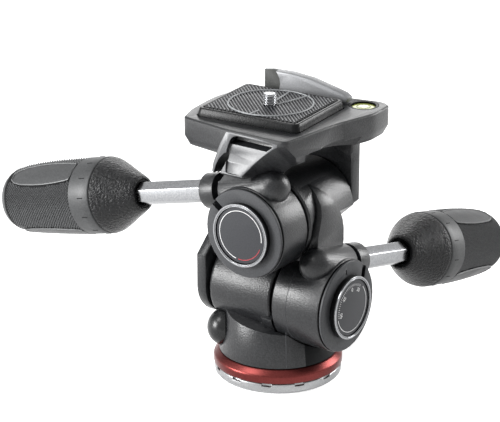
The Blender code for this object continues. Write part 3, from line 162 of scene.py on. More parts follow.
# The sizes of grains, clouds and lines are in millimetres. Real spark grain and turning lines are
# finer than half a millimetre, and are drawn this coarse so that they show in the picture.
finishes = {
    # Glass filled nylon, moulded with a fine spark grain: broad soft highlights and faint specks.
    "bodyNylon": mouldedFinish("satinMouldedNylon", {
        "dark": "#0b0c0e", "light": "#292a2c", "grain": 0.7, "cloud": 9.0,
        "gloss": (0.30, 0.36), "relief": 0.5, "depth": 0.35, "specular": 0.4}),
    # The same nylon where the tool was polished, on the small balls and covers.
    "polishedNylon": mouldedFinish("polishedMouldedNylon", {
        "dark": "#131415", "light": "#1c1d1e", "grain": 1.1, "cloud": 8.0,
        "gloss": (0.24, 0.30), "relief": 0.04, "specular": 0.3}),
    # Painted highlight on the web's face under the plate and on the stop tab's top: the nylon is drawn
    # smooth and pale where the real faces mirror something bright.
    "paintedHighlightNylon": mouldedFinish("paintedHighlightSmoothNylon", {
        "dark": "#4c4d4f", "light": "#595a5c", "grain": 0.8, "cloud": 9.0,
        "gloss": (0.30, 0.36), "relief": 0.10, "specular": 0.45}),
    # The flat clamp discs, turned after moulding and left dry and even, and the mould lines.
    "discNylon": mouldedFinish("turnedDiscNylon", {
        "dark": "#3a3b3d", "light": "#454648", "grain": 0.7, "cloud": 9.0,
        "gloss": (0.42, 0.50), "relief": 0.08, "specular": 0.2}),
    # Nylon with a coarse leather-like spark grain, which glitters where light grazes it.
    "coarseNylon": mouldedFinish("coarseGrainNylon", {
        "dark": "#040405", "light": "#17181a", "grain": 1.0, "cloud": 7.0,
        "gloss": (0.24, 0.30), "relief": 1.0, "depth": 0.7, "specular": 0.28}),
    # Moulded thermoplastic rubber: dark grey, dry to the eye, with slight dusty patches.
    "gripRubber": mouldedFinish("mouldedGripRubber", {
        "dark": "#2d2e2f", "light": "#3e3f40", "grain": 0.9, "cloud": 10.0,
        "gloss": (0.42, 0.52), "relief": 0.12, "specular": 0.4}),
    # Moulded rubber of the pad's ridges, greyer than the grips, with a slight sheen.
    "padRubber": mouldedFinish("ribbedPadRubber", {
        "dark": "#37383b", "light": "#47484b", "grain": 0.8, "cloud": 6.0,
        "gloss": (0.36, 0.46), "relief": 0.10, "specular": 0.4}),
    # The knurl's tips and the thumb panels' borders, drawn paler than the sleeve round them as a painted
    # highlight.
    "knurlHighlightRubber": mouldedFinish("paintedHighlightKnurlRubber", {
        "dark": "#4c4d4e", "light": "#5c5d5e", "grain": 0.9, "cloud": 10.0,
        "gloss": (0.40, 0.50), "relief": 0.12, "specular": 0.5}),
    # The floors of grooves and the ticks in rubber: nearly black, because little light gets in.
    "grooveRubber": mouldedFinish("grooveFloorRubber", {
        "dark": "#0a0b0c", "light": "#121314", "grain": 0.8, "cloud": 6.0,
        "gloss": (0.50, 0.60), "relief": 0.05, "specular": 0.1}),
    # Printed or moulded marks on the pad, worn a little thin.
    "padMark": mouldedFinish("paleRubberMark", {
        "dark": "#77797b", "light": "#95989a", "grain": 0.9, "cloud": 4.0,
        "gloss": (0.50, 0.60), "relief": 0.10}),
    # Hard black plate, moulded in a smoother tool: deep black with a tight sheen on its edges.
    "plateBlack": mouldedFinish("blackMouldedPlate", {
        "dark": "#08090a", "light": "#111213", "grain": 0.8, "cloud": 6.0,
        "gloss": (0.24, 0.30), "relief": 0.15, "specular": 0.15}),
    # Silver grey enamel on a die cast lever.
    "leverEnamel": mouldedFinish("silverGreyEnamel", {
        "dark": "#7c7d7f", "light": "#8b8c8e", "grain": 0.5, "cloud": 12.0,
        "gloss": (0.38, 0.46), "relief": 0.05, "metallic": 0.2, "specular": 0.35}),
    # Painted shade on the floor of the lever's thumb scoop, dark and dull.
    "scoopPaintedShade": mouldedFinish("paintedShadeScoopFloor", {
        "dark": "#3a3b3a", "light": "#454644", "grain": 0.5, "cloud": 5.0,
        "gloss": (0.45, 0.55), "relief": 0.05, "specular": 0.2}),
    # Screen printed foil under a clear coat.
    "dialFoil": mouldedFinish("printedDialFoil", {
        "dark": "#333437", "light": "#3a3b3e", "grain": 0.6, "cloud": 7.0,
        "gloss": (0.30, 0.36), "relief": 0.03, "specular": 0.2}),
    # White screen ink on that foil, flat and dull.
    "whitePrint": mouldedFinish("whiteScreenPrint", {
        "dark": "#dcdcdc", "light": "#ececec", "grain": 0.5, "cloud": 3.0,
        "gloss": (0.40, 0.45), "relief": 0.02}),
    # The same ink in red.
    "redPrint": mouldedFinish("redScreenPrint", {
        "dark": "#a02531", "light": "#b22c38", "grain": 0.5, "cloud": 3.0,
        "gloss": (0.40, 0.45), "relief": 0.02}),
    # Turned and polished aluminium: near mirror with faint turning lines.
    "polishedAluminium": metalFinish("polishedAluminium", {
        "dark": "#848587", "light": "#9a9b9d", "line": 0.5, "gloss": (0.14, 0.22), "relief": 0.05}),
    # Bead blasted and clear anodised: pale and even.
    "blastedAluminium": metalFinish("blastedAluminium", {
        "dark": "#8b8c8d", "light": "#9d9e9f", "line": 0.6, "gloss": (0.34, 0.44), "relief": 0.10}),
    # Red dyed anodising over bright aluminium.
    "redAnodised": metalFinish("redAnodisedAluminium", {
        "dark": "#5c2a28", "light": "#693230", "line": 0.6, "gloss": (0.30, 0.36), "relief": 0.04}),
    # Drawn hexagonal steel bar, satin chromed.
    "satinChrome": metalFinish("satinChromedBar", {
        "dark": "#8a8b8d", "light": "#9d9ea0", "line": 0.9, "gloss": (0.20, 0.27), "relief": 0.04}),
    # Turned steel of shafts, nuts and pins: a grey shine with fine lines.
    "plainSteel": metalFinish("turnedSteel", {
        "dark": "#8f9193", "light": "#a9abad", "line": 0.6, "gloss": (0.26, 0.36), "relief": 0.10}),
    # Turned brass of the tripod thread, yellow with the same lines.
    "turnedBrass": metalFinish("turnedBrass", {
        "dark": "#b08d4a", "light": "#c9a65c", "line": 0.6, "gloss": (0.24, 0.34), "relief": 0.10}),
    # Natural acetal of bushes and brake shoes: milky and slightly waxy.
    "whiteAcetal": mouldedFinish("naturalAcetal", {
        "dark": "#d5d5cc", "light": "#e2e2da", "grain": 0.8, "cloud": 6.0,
        "gloss": (0.35, 0.45), "relief": 0.05}),
    # Dyed spirit under a clear dome.
    "levelSpirit": mouldedFinish("dyedLevelSpirit", {
        "dark": "#b7bf5e", "light": "#c7cf74", "grain": 2.0, "cloud": 3.0,
        "gloss": (0.06, 0.10), "relief": 0.0}),
    # The bubble in that spirit, a pale spot with a sharp gloss.
    "levelBubble": mouldedFinish("levelBubble", {
        "dark": "#e6ead0", "light": "#f2f4e2", "grain": 1.0, "cloud": 2.0,
        "gloss": (0.06, 0.10), "relief": 0.0}),
    # Plain black plastic, dull and dark, for grip cores and level parts. The same black is painted shade
    # on faces that lie in a gap or groove and on the face rings' side walls.
    "blackPlasticAndShade": mouldedFinish("blackPlasticAndPaintedShade", {
        "dark": "#0b0c0d", "light": "#121314", "grain": 0.8, "cloud": 5.0,
        "gloss": (0.35, 0.45), "relief": 0.05, "specular": 0.1}),
}
print("finishes:", len(finishes))


# Shapes that several pieces share

cornerSteps = 3  # straight parts in a profile's rounded corner
cornerLimit = 2.1  # a corner takes up to this part of a side, so that two never meet
beadSides = 6
# Faces closer to level than "flat" are merged, and edges sharper than "edge" are softened.
softening = {"weld": 0.002 * mm, "flat": math.radians(0.6), "edge": math.radians(34), "segments": 2}


def addObject(name, data):
    thing = bpy.data.objects.new(name, data)
    bpy.context.collection.objects.link(thing)
    return thing


def polar(radius, angle):
    return radius * math.cos(angle), radius * math.sin(angle)


def keep(name, mesh, finish, body, sharp=math.radians(30)):
    thing = addObject(name, mesh)
    mesh.name = name
    if finish:
        mesh.materials.clear()
        mesh.materials.append(finishes[finish])
    mesh.shade_smooth()
    mesh.set_sharp_from_angle(angle=sharp)
    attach(thing, body)
    return thing


def meshFrom(shape, place):
    bmesh.ops.recalc_face_normals(shape, faces=shape.faces)
    mesh = bpy.data.meshes.new("shape")
    shape.to_mesh(mesh)
    shape.free()
    mesh.transform(place)
    return mesh


def softCorners(points, radius):
    # The same profile with every corner but its two ends rounded.
    out = []
    for index, corner in enumerate(points):
        if index in (0, len(points) - 1):
            out.append(tuple(corner))
            continue
        corner = Vector(corner)
        before = Vector(points[index - 1]) - corner
        after = Vector(points[index + 1]) - corner
        reach = min(radius, before.length / cornerLimit, after.length / cornerLimit)
        start = corner + before.normalized() * reach
        end = corner + after.normalized() * reach
        for step in range(cornerSteps + 1):
            share = step / cornerSteps
            bend = start * (1 - share) ** 2 + corner * 2 * share * (1 - share) + end * share ** 2
            out.append(tuple(bend))
    return out


def turned(profile, place, steps=128, radiusAt=None):
    # The profile's (radius, height) points go from the axis out and back to it, or close away from it.
    shape = bmesh.new()
    rings = []
    for radius, height in profile:
        if radius == 0:
            rings.append([shape.verts.new((0, 0, height))])
            continue
        ring = []
        for step in range(steps):
            angle = 2 * math.pi * step / steps
            there = radiusAt(radius, height, angle) if radiusAt else radius
            ring.append(shape.verts.new((*polar(there, angle), height)))
        rings.append(ring)
    pairs = list(zip(rings, rings[1:]))
    if profile[0][0] > 0:
        pairs.append((rings[-1], rings[0]))
    for lower, upper in pairs:
        for step in range(steps):
            after = (step + 1) % steps
            face = []
            for corner in (lower[step % len(lower)], lower[after % len(lower)],
                           upper[after % len(upper)], upper[step % len(upper)]):
                if corner not in face:
                    face.append(corner)
            if len(face) > 2:
                shape.faces.new(face)
    return meshFrom(shape, place)


def dome(radius, foot, rise, steps):
    # Profile points from just above the rim up to the axis.
    points = []
    for step in range(1, steps):
        across, upward = polar(1, math.pi / 2 * step / steps)
        points.append((radius * across, foot + rise * upward))
    return points + [(0, foot + rise)]


def softenedCopy(node, width):
    # A copy of a solid's mesh, its loose triangles merged and its edges bevelled to this width.
    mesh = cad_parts[node].data.copy()
    shape = bmesh.new()
    shape.from_mesh(mesh)
    bmesh.ops.remove_doubles(shape, verts=shape.verts, dist=softening["weld"])
    bmesh.ops.dissolve_limit(shape, angle_limit=softening["flat"], verts=shape.verts, edges=shape.edges)
    bmesh.ops.recalc_face_normals(shape, faces=shape.faces)
    shape.to_mesh(mesh)
    shape.free()
    holder = addObject("holder", mesh)
    bevel = holder.modifiers.new("edge", "BEVEL")
    bevel.width = width
    bevel.segments = softening["segments"]
    bevel.limit_method = "ANGLE"
    bevel.angle_limit = softening["edge"]
    return plainMesh(holder)


def plainMesh(holder):
    # The finished shape of a holder as a plain mesh, and the holder goes.
    bpy.context.view_layer.update()
    graph = bpy.context.evaluated_depsgraph_get()
    mesh = bpy.data.meshes.new_from_object(holder.evaluated_get(graph))
    bpy.data.objects.remove(holder, do_unlink=True)
    return mesh


def runTree(mesh, tree, values):
    holder = addObject("holder", mesh)
    modifier = holder.modifiers.new(tree.name, "NODES")
    modifier.node_group = tree
    for item in tree.interface.items_tree:
        if item.in_out == "INPUT" and item.name in values:
            modifier[item.identifier] = values[item.name]
    return plainMesh(holder)


def startTree(name, sizes):
    tree = bpy.data.node_groups.new(name, "GeometryNodeTree")
    tree.interface.new_socket("Geometry", in_out="INPUT", socket_type="NodeSocketGeometry")
    for size in sizes:
        tree.interface.new_socket(size, in_out="INPUT", socket_type="NodeSocketFloat")
    tree.interface.new_socket("Finish", in_out="INPUT", socket_type="NodeSocketMaterial")
    tree.interface.new_socket("Geometry", in_out="OUTPUT", socket_type="NodeSocketGeometry")
    return tree, addNode(tree, "NodeGroupInput")


def endTree(tree, given, geometry):
    whole = addNode(tree, "GeometryNodeRealizeInstances", {}, {"Geometry": geometry})
    painted = addNode(tree, "GeometryNodeSetMaterial", {}, {
        "Geometry": whole.outputs["Geometry"], "Material": given.outputs["Finish"]})
    addNode(tree, "NodeGroupOutput", {}, {"Geometry": painted.outputs["Geometry"]})
    return tree


def knurlTree():
    # One small pyramid on every point, its top along "direction" and a corner along "along".
    tree, given = startTree("diamondKnurl", ("Diamond width", "Diamond height"))
    pyramid = addNode(tree, "GeometryNodeMeshCone", {"fill_type": "NGON"}, {
        "Vertices": 4, "Radius Top": 0.0, "Radius Bottom": given.outputs["Diamond width"],
        "Depth": given.outputs["Diamond height"]})
    stored = {}
    for name, kind in (("direction", "FLOAT_VECTOR"), ("along", "FLOAT_VECTOR"), ("size", "FLOAT")):
        node = addNode(tree, "GeometryNodeInputNamedAttribute", {"data_type": kind}, {"Name": name})
        stored[name] = node.outputs["Attribute"]
    turn = addNode(tree, "FunctionNodeAxesToRotation", {"primary_axis": "Z", "secondary_axis": "X"},
                   {0: stored["direction"], 1: stored["along"]})
    placed = addNode(tree, "GeometryNodeInstanceOnPoints", {}, {
        "Points": given.outputs["Geometry"], "Instance": pyramid.outputs["Mesh"],
        "Rotation": turn.outputs["Rotation"], "Scale": stored["size"]})
    return endTree(tree, given, placed.outputs["Instances"])


def beadTree():
    # A round bead along every edge of the given lines.
    tree, given = startTree("beadAlongLines", ("Bead radius",))
    path = addNode(tree, "GeometryNodeMeshToCurve", {}, {"Mesh": given.outputs["Geometry"]})
    ring = addNode(tree, "GeometryNodeCurvePrimitiveCircle", {}, {
        "Resolution": beadSides, "Radius": given.outputs["Bead radius"]})
    bead = addNode(tree, "GeometryNodeCurveToMesh", {}, {
        "Curve": path.outputs["Curve"], "Profile Curve": ring.outputs["Curve"], "Fill Caps": True})
    return endTree(tree, given, bead.outputs["Mesh"])


def linesMesh(lines, closed=False):
    mesh = bpy.data.meshes.new("lines")
    points = []
    edges = []
    for line in lines:
        first = len(points)
        points.extend(line)
        edges.extend((first + index, first + index + 1) for index in range(len(line) - 1))
        if closed:
            edges.append((first + len(line) - 1, first))
    mesh.from_pydata(points, edges, [])
    return mesh


diamondKnurl = knurlTree()
beadAlongLines = beadTree()


def keepBeads(name, lines, radius, finish, body, closed=False):
    beads = runTree(linesMesh(lines, closed), beadAlongLines, {
        "Bead radius": radius, "Finish": finishes[finish]})
    keep(name, beads, None, body)


# Moulded, cast and turned bodies: the solids themselves, with their edges softened

castings = {  # body, slot, finish and width of the softened edges
    "platform": ("roll_body", "body_black", "bodyNylon", 0.4 * mm),
    "tilt_fork": ("tilt_body", "body_black", "bodyNylon", 0.4 * mm),
    "pan_housing": ("pan_body", "body_black", "bodyNylon", 0.5 * mm),
    "base_disc": ("base", "base_aluminium", "blastedAluminium", 0.25 * mm),
    "release_lever": ("release_lever", "lever_grey", "leverEnamel", 0.6 * mm),
    "quick_plate": ("quick_plate", "plate_black", "plateBlack", 0.45 * mm),
    "tilt_rod": ("tilt_handle", "rod_chrome", "satinChrome", 0.35 * mm),
    "roll_rod": ("roll_handle", "rod_chrome", "satinChrome", 0.35 * mm),
    "roll_leg_cover": ("roll_body", "plain_black", "polishedNylon", 0.4 * mm),
    "tilt_arm_cover": ("tilt_body", "plain_black", "polishedNylon", 0.4 * mm),
}
# Where each part that has a finish of its own lies, and "facing" is how squarely its faces look out. The
# web and the stop tab get a painted highlight; the gap beside the pan barrel and the lever's scoop get
# painted shade.
clampDiscs = {"discRadius": 21.7 * mm, "tiltMargin": 0.5 * mm,
              "rollDiscFoot": -31.95 * mm, "rollGrooveFoot": -31.15 * mm,
              "tiltDiscFoot": 37.65 * mm, "tiltGrooveFoot": 36.9 * mm}
web = {"left": -12.0 * mm, "right": 13.0 * mm, "low": 104.0 * mm, "high": 121.0 * mm,
       "front": -34.0 * mm, "facing": 0.93}
stopTab = {"left": 4.5 * mm, "right": 11.0 * mm, "foot": 20.1 * mm, "top": 22.1 * mm, "facing": 0.5}
barrelGap = {"barrelSide": 8.0 * mm, "armLow": 10.0 * mm, "armHigh": 13.0 * mm, "facing": 0.9}
lever = {"pivot": (11.0 * mm, 33.8 * mm), "turn": math.radians(5.5), "scoopEnd": -28.0 * mm,
         "scoopFloor": -1.5 * mm, "facing": 0.9}
leverPlace = Matrix.Translation((*lever["pivot"], 0)) @ Matrix.Rotation(lever["turn"], 4, "Z")


# The web's face under the plate, which gets a painted highlight.
def onWeb(centre, normal):
    return (normal.y < -web["facing"] and web["low"] < centre.z < web["high"]
            and web["left"] < centre.x < web["right"] and centre.y > web["front"])


# The stop tab's top, which gets a painted highlight.
def onStopTab(centre, normal):
    across = math.hypot(centre.y, centre.z - axes["tiltOrigin"][2])
    return (stopTab["left"] < centre.x < stopTab["right"] and stopTab["foot"] < across < stopTab["top"]
            and normal.z > stopTab["facing"] and centre.y < 0)


# The floor of the lever's thumb scoop, which gets painted shade.
def inScoop(centre, normal):
    there = leverPlace.inverted() @ centre
    return (there.x < lever["scoopEnd"] and there.y > lever["scoopFloor"]
            and normal.y < -lever["facing"])


# Faces across the gap between the fork's arm and the pan barrel, which get painted shade.
def onGapArm(centre, normal):
    return normal.x < -barrelGap["facing"] and barrelGap["armLow"] < centre.x < barrelGap["armHigh"]


def onGapBarrel(centre, normal):
    return normal.x > barrelGap["facing"] and centre.x > barrelGap["barrelSide"]


# Faces round a clamp disc: the disc's own grey on its face, and black painted shade in the groove round
# it.
def onRollClamp(centre, reach):
    across = math.hypot(centre.x - axes["rollOrigin"][0], centre.z - axes["rollOrigin"][2])
    return across < clampDiscs["discRadius"] and centre.y < reach


def onTiltClamp(centre, reach):
    across = math.hypot(centre.y, centre.z - axes["tiltOrigin"][2])
    return across < clampDiscs["discRadius"] + clampDiscs["tiltMargin"] and centre.x > reach


zones = {  # the finish of the faces that pass each test, where the last one wins
    "platform": [
        ("blackPlasticAndShade", lambda centre, normal: onRollClamp(centre, clampDiscs["rollGrooveFoot"])),
        ("discNylon", lambda centre, normal: onRollClamp(centre, clampDiscs["rollDiscFoot"])),
        ("paintedHighlightNylon", onWeb)],
    "tilt_fork": [
        ("blackPlasticAndShade", lambda centre, normal: onTiltClamp(centre, clampDiscs["tiltGrooveFoot"])),
        ("discNylon", lambda centre, normal: onTiltClamp(centre, clampDiscs["tiltDiscFoot"])),
        ("blackPlasticAndShade", onGapArm)],
    "pan_housing": [
        ("blackPlasticAndShade", onGapBarrel),
        ("paintedHighlightNylon", onStopTab)],
    "release_lever": [("scoopPaintedShade", inScoop)],
}


def paintZones(mesh, rules):
    for finish, test in rules:
        mesh.materials.append(finishes[finish])
        for face in mesh.polygons:
            if test(face.center, face.normal):
                face.material_index = len(mesh.materials) - 1


for node, (body, slot, finish, width) in castings.items():
    piece = keep(node + "_softened", softenedCopy(node, width), finish, body)
    paintZones(piece.data, zones.get(node, []))
    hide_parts(node)
print("softened castings:", len(castings))

# Pieces that are right as they are and only need their finish.
plainPieces = {
    "turnedBrass": ("thread_bush",),
    "plainSteel": ("pan_spindle", "pan_washer", "pan_screw", "pan_knob_stud", "tilt_shaft",
                   "tilt_shaft_nut", "tilt_clamp_nut", "roll_shaft", "roll_shaft_nut",
                   "roll_clamp_nut", "lever_pin"),
    "whiteAcetal": ("pan_bush", "pan_brake_shoe", "tilt_arm_bush", "roll_leg_bush"),
    "blackPlasticAndShade": ("tilt_grip_collet", "tilt_grip_core", "roll_grip_collet", "roll_grip_core",
                     "level_housing"),
}
for finish, nodes in plainPieces.items():
    for node in nodes:
        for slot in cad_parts[node].material_slots:
            slot.material = finishes[finish]
print("inner pieces given their finish")


# Base ring: a dyed ring with a sloped shoulder round the base disc

ring = {"radius": 30.45 * mm, "inner": 25.6 * mm, "foot": 5.3 * mm, "shoulder": 9.0 * mm,
        "top": 11.7 * mm, "topRadius": 27.8 * mm, "edge": 0.7 * mm}
profile = softCorners([(ring["inner"], ring["foot"]), (ring["radius"], ring["foot"]),
                       (ring["radius"], ring["shoulder"]), (ring["topRadius"], ring["top"]),
                       (ring["inner"], ring["top"])], ring["edge"])
piece = keep("anodised_ring", turned(profile, world, steps=160), "redAnodised", "base")
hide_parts("base_ring")
print("base ring done")


# Mould lines, one up the tapered neck and one round the tilt clamp

mould = {"radius": 0.20 * mm, "sink": 0.05 * mm,
         "neckFoot": 12.4 * mm, "neckTop": 30.0 * mm, "neckRadius": 27.8 * mm, "neckRise": 21.0 * mm,
         "taper": 3.5 * mm, "neckAngle": math.radians(-46.5), "neckSteps": 8,
         "clampX": 19.4 * mm, "clampRadius": 21.9 * mm, "clampLow": math.radians(-48),
         "clampHigh": math.radians(50), "clampSteps": 24}
neckLine = []
for step in range(mould["neckSteps"] + 1):
    height = mould["neckFoot"] + (mould["neckTop"] - mould["neckFoot"]) * step / mould["neckSteps"]
    taper = mould["taper"] * (height - mould["neckFoot"]) / mould["neckRise"]
    reach = mould["neckRadius"] - taper - mould["sink"]
    neckLine.append((*polar(reach, mould["neckAngle"]), height))
clampLine = []
for step in range(mould["clampSteps"] + 1):
    angle = mould["clampLow"] + (mould["clampHigh"] - mould["clampLow"]) * step / mould["clampSteps"]
    forward, upward = polar(mould["clampRadius"], angle)
    clampLine.append((mould["clampX"], -forward, axes["tiltOrigin"][2] + upward))
for name, line, body in (("neck", neckLine, "pan_body"), ("clamp", clampLine, "tilt_body")):
    keepBeads(name + "_mould_line", [line], mould["radius"], "discNylon", body)
print("mould lines done")


# Pan lock knob: a dome on a short rim

knob = {"height": 21.5 * mm, "outward": (-0.809, -0.588, 0), "radius": 8.7 * mm, "rim": 24.0 * mm,
        "tip": 33.5 * mm, "edge": 1.6 * mm, "domeSteps": 14}
knobPlace = placeAlong((0, 0, knob["height"]), knob["outward"], (0, 0, 1))
domeFoot = knob["rim"] + knob["edge"]
profile = [(0, knob["rim"]), (knob["radius"] - knob["edge"] / 2, knob["rim"]),
           (knob["radius"], knob["rim"] + knob["edge"] / 2)]
profile += dome(knob["radius"], domeFoot, knob["tip"] - domeFoot, knob["domeSteps"])
piece = keep("pan_lock_ball", turned(profile, knobPlace, steps=96), "polishedNylon", "pan_knob")
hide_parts("pan_knob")
print("pan lock knob done")


# Face rings, tilt dial and roll badge

dial = {"ringRadius": 14.9 * mm, "ringWall": 1.3 * mm, "gap": 0.3 * mm, "setBack": 0.7 * mm,
        "outerBand": 0.75 * mm, "innerBand": 0.3 * mm, "grooveDepth": 0.4 * mm, "step": 0.12 * mm,
        "tiltFace": 38.8 * mm, "tiltHeight": 3.0 * mm, "rollFace": 33.0 * mm, "rollHeight": 2.9 * mm,
        "lineRadius": 11.6 * mm, "lineWidth": 0.28 * mm, "numberRadius": 8.7 * mm, "numberSize": 2.6 * mm,
        "tickOuter": 11.4 * mm, "tickInner": 10.3 * mm, "tickWidth": 0.18 * mm,
        "lipDepth": 1.0 * mm, "lipRound": 0.16 * mm, "wallInset": 0.1 * mm, "wallDrop": 1.05 * mm,
        "plateRound": 0.2 * mm, "arcStep": 3, "fewestSteps": 8,  # an arc's step in degrees
        "numbers": (("90", 188), ("45", 136), ("0", 90), ("30", 56)),  # each with its angle in degrees
        "tickCount": 27, "firstTick": 54, "tickStep": 5.2,
        "dialArc": (-166, 41), "badgeArc": (-5, 258), "badgeRedArc": (-96, -22)}


def faceRing(node, face, height, place, body):
    outer = dial["ringRadius"]
    inner = outer - dial["ringWall"]
    foot = face + dial["gap"]
    top = foot + height
    # The front lip is bright, with a shallow groove turned round it, and the side wall is black: painted
    # shade for the shadow the wall lies in.
    outerBand = outer - dial["outerBand"]
    innerBand = inner + dial["innerBand"]
    groove = top - dial["grooveDepth"]
    lipFoot = top - dial["lipDepth"]
    lip = softCorners([(inner, lipFoot), (outer, lipFoot), (outer, top), (outerBand, top),
                       (outerBand, groove), (innerBand, groove), (innerBand, top - dial["step"]),
                       (inner, top - dial["step"])], dial["lipRound"])
    wallRadius = outer - dial["wallInset"]
    wallTop = top - dial["wallDrop"]
    wall = [(inner, foot), (wallRadius, foot), (wallRadius, wallTop), (inner, wallTop)]
    bright = keep(node + "_lip", turned(lip, place, steps=144), "polishedAluminium", body)
    dark = keep(node + "_painted_shade_wall", turned(wall, place, steps=144), "blackPlasticAndShade", body)
    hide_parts(node)
    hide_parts(node)


def facePlate(name, face, height, place, body, node):
    radius = dial["ringRadius"] - dial["ringWall"] - dial["gap"]
    foot = face + dial["gap"]
    top = foot + height - dial["setBack"]
    profile = softCorners([(0, foot), (radius, foot), (radius, top), (0, top)], dial["plateRound"])
    piece = keep(name, turned(profile, place, steps=144), "dialFoil", body)
    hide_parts(node)
    return top


def arcStrip(radius, width, start, end, low, place):
    # A thin raised band from one angle to another, in degrees.
    steps = max(dial["fewestSteps"], int(abs(end - start) / dial["arcStep"]))
    shape = bmesh.new()
    rows = []
    for step in range(steps + 1):
        angle = math.radians(start + (end - start) * step / steps)
        row = []
        for reach, height in ((radius - width / 2, low), (radius + width / 2, low),
                              (radius + width / 2, low + proud), (radius - width / 2, low + proud)):
            row.append(shape.verts.new((*polar(reach, angle), height)))
        rows.append(row)
    for first, second in zip(rows, rows[1:]):
        for side in range(4):
            after = (side + 1) % 4
            shape.faces.new((first[side], first[after], second[after], second[side]))
    shape.faces.new(rows[0])
    shape.faces.new(rows[-1])
    return meshFrom(shape, place)


def numberMesh(text, size, angle, radius, low, place):
    curve = bpy.data.curves.new("number", "FONT")
    curve.body = text
    curve.size = size
    curve.align_x = "CENTER"
    curve.align_y = "CENTER"
    curve.extrude = proud / 2
    mesh = plainMesh(addObject("number", curve))
    turn = Matrix.Rotation(math.radians(angle - 90), 4, "Z")
    where = (*polar(radius, math.radians(angle)), low + proud / 2)
    mesh.transform(place @ Matrix.Translation(where) @ turn)
    return mesh


def joined(meshes):
    # Several plain meshes as one.
    shape = bmesh.new()
    for mesh in meshes:
        shape.from_mesh(mesh)
    mesh = bpy.data.meshes.new("joined")
    shape.to_mesh(mesh)
    shape.free()
    return mesh


faceRing("tilt_dial_ring", dial["tiltFace"], dial["tiltHeight"], tiltPlace, "pan_body")
faceRing("roll_badge_ring", dial["rollFace"], dial["rollHeight"], rollPlace, "tilt_body")
dialTop = facePlate("tilt_dial_foil", dial["tiltFace"], dial["tiltHeight"], tiltPlace, "pan_body",
                    "tilt_dial_plate")
badgeTop = facePlate("roll_badge_foil", dial["rollFace"], dial["rollHeight"], rollPlace, "tilt_body",
                     "roll_badge_plate")

marks = [arcStrip(dial["lineRadius"], dial["lineWidth"], *dial["dialArc"], dialTop, tiltPlace)]
for text, angle in dial["numbers"]:
    marks.append(numberMesh(text, dial["numberSize"], angle, dial["numberRadius"], dialTop, tiltPlace))
half = math.degrees(dial["tickWidth"] / dial["tickOuter"] / 2)
middle = (dial["tickOuter"] + dial["tickInner"]) / 2
for step in range(dial["tickCount"]):
    angle = dial["firstTick"] + step * dial["tickStep"]
    marks.append(arcStrip(middle, dial["tickOuter"] - dial["tickInner"], angle - half, angle + half,
                          dialTop, tiltPlace))
keep("tilt_dial_marks", joined(marks), "whitePrint", "pan_body")
for name, span, finish in (("roll_badge_arc", dial["badgeArc"], "whitePrint"),
                           ("roll_badge_red_arc", dial["badgeRedArc"], "redPrint")):
    arc = arcStrip(dial["lineRadius"], dial["lineWidth"], *span, badgeTop, rollPlace)
    keep(name, arc, finish, "tilt_body")
print("dial and badge done")


# Grips: a grained cone on each rod, and a rubber sleeve with its knurl, thumb panels and ticks

# The knurl is drawn coarser than it is, 1.6 mm between diamonds in a row for about 1.4 mm.
# Lifts are heights over the sleeve. The panel's low, high and margin keep the knurl off it.
grip = {
    "coneLength": 18.8 * mm, "boreRadius": 7.0 * mm, "lipDepth": 4.0 * mm, "coreRadius": 9.3 * mm,
    "sleeveGap": 0.5 * mm, "coreEnd": 78.3 * mm,
    "bandEnd": 12.4 * mm, "knurlEnd": 57.4 * mm, "sink": 0.5 * mm, "sinkSlope": 0.3 * mm,
    "bandStation": 20.0,  # the station above the band's edge, where that edge is put in
    "aroundCount": 72, "firstRow": 0.9 * mm, "rowStep": 0.80 * mm, "rowMargin": 1.6 * mm,
    "diamondWidth": 0.72 * mm, "diamondHeight": 0.80 * mm, "diamondSink": 0.06 * mm,
    "diamondRadius": 18.4 * mm,  # the sleeve's radius where a diamond has just these sizes
    "panelCount": 3, "panelColumns": 12, "panelLifts": (-0.03 * mm, -0.75 * mm), "panelHollow": 0.12 * mm,
    "panelLow": 13.0 * mm, "panelHigh": 57.0 * mm, "panelMargin": 1.0,  # millimetres, as the stations
    "beadRadius": 0.38 * mm, "beadLift": -0.02 * mm,
    "tickCount": 12, "tickRadius": 0.26 * mm, "tickLift": -0.05 * mm, "tickStations": (3.4, 5.0, 6.6),
}
# Stations in millimetres: the way along, with the radius there or a panel's half width.
coneStations = ((0.0, 7.6), (0.5, 8.25), (1.4, 8.9), (5.0, 10.9), (9.0, 13.1), (13.0, 15.4), (16.0, 17.0),
                (17.4, 17.7), (18.2, 18.0), (18.8, 18.05))
sleeveStations = ((0.0, 17.7), (0.25, 18.15), (0.7, 18.4), (6.0, 18.45), (12.0, 18.4), (20.0, 18.3),
                  (30.0, 18.1), (36.0, 17.85), (42.0, 17.5), (47.0, 17.05), (52.0, 16.5), (55.0, 15.95),
                  (57.5, 15.3), (59.5, 14.4), (61.0, 13.4), (62.0, 12.3), (62.7, 11.1), (63.2, 9.4))
panelStations = ((13.6, 4.8), (16.0, 5.4), (22.0, 6.1), (30.0, 6.6), (38.0, 6.3), (46.0, 5.4), (51.0, 3.9),
                 (54.0, 1.6))


def between(stations, where):
    # The value at this place, on a straight line from one station to the next.
    for (low, first), (high, second) in zip(stations, stations[1:]):
        if where <= high:
            share = max(0, (where - low) / (high - low))
            return first + (second - first) * share
    return stations[-1][1]


def sleeveRadius(along):
    return between(sleeveStations, along / mm) * mm


def onSleeve(seam, angle, across, along, lift):
    radius = sleeveRadius(along)
    turn = angle + across / radius
    return Vector((*polar(radius + lift, turn), seam + along))


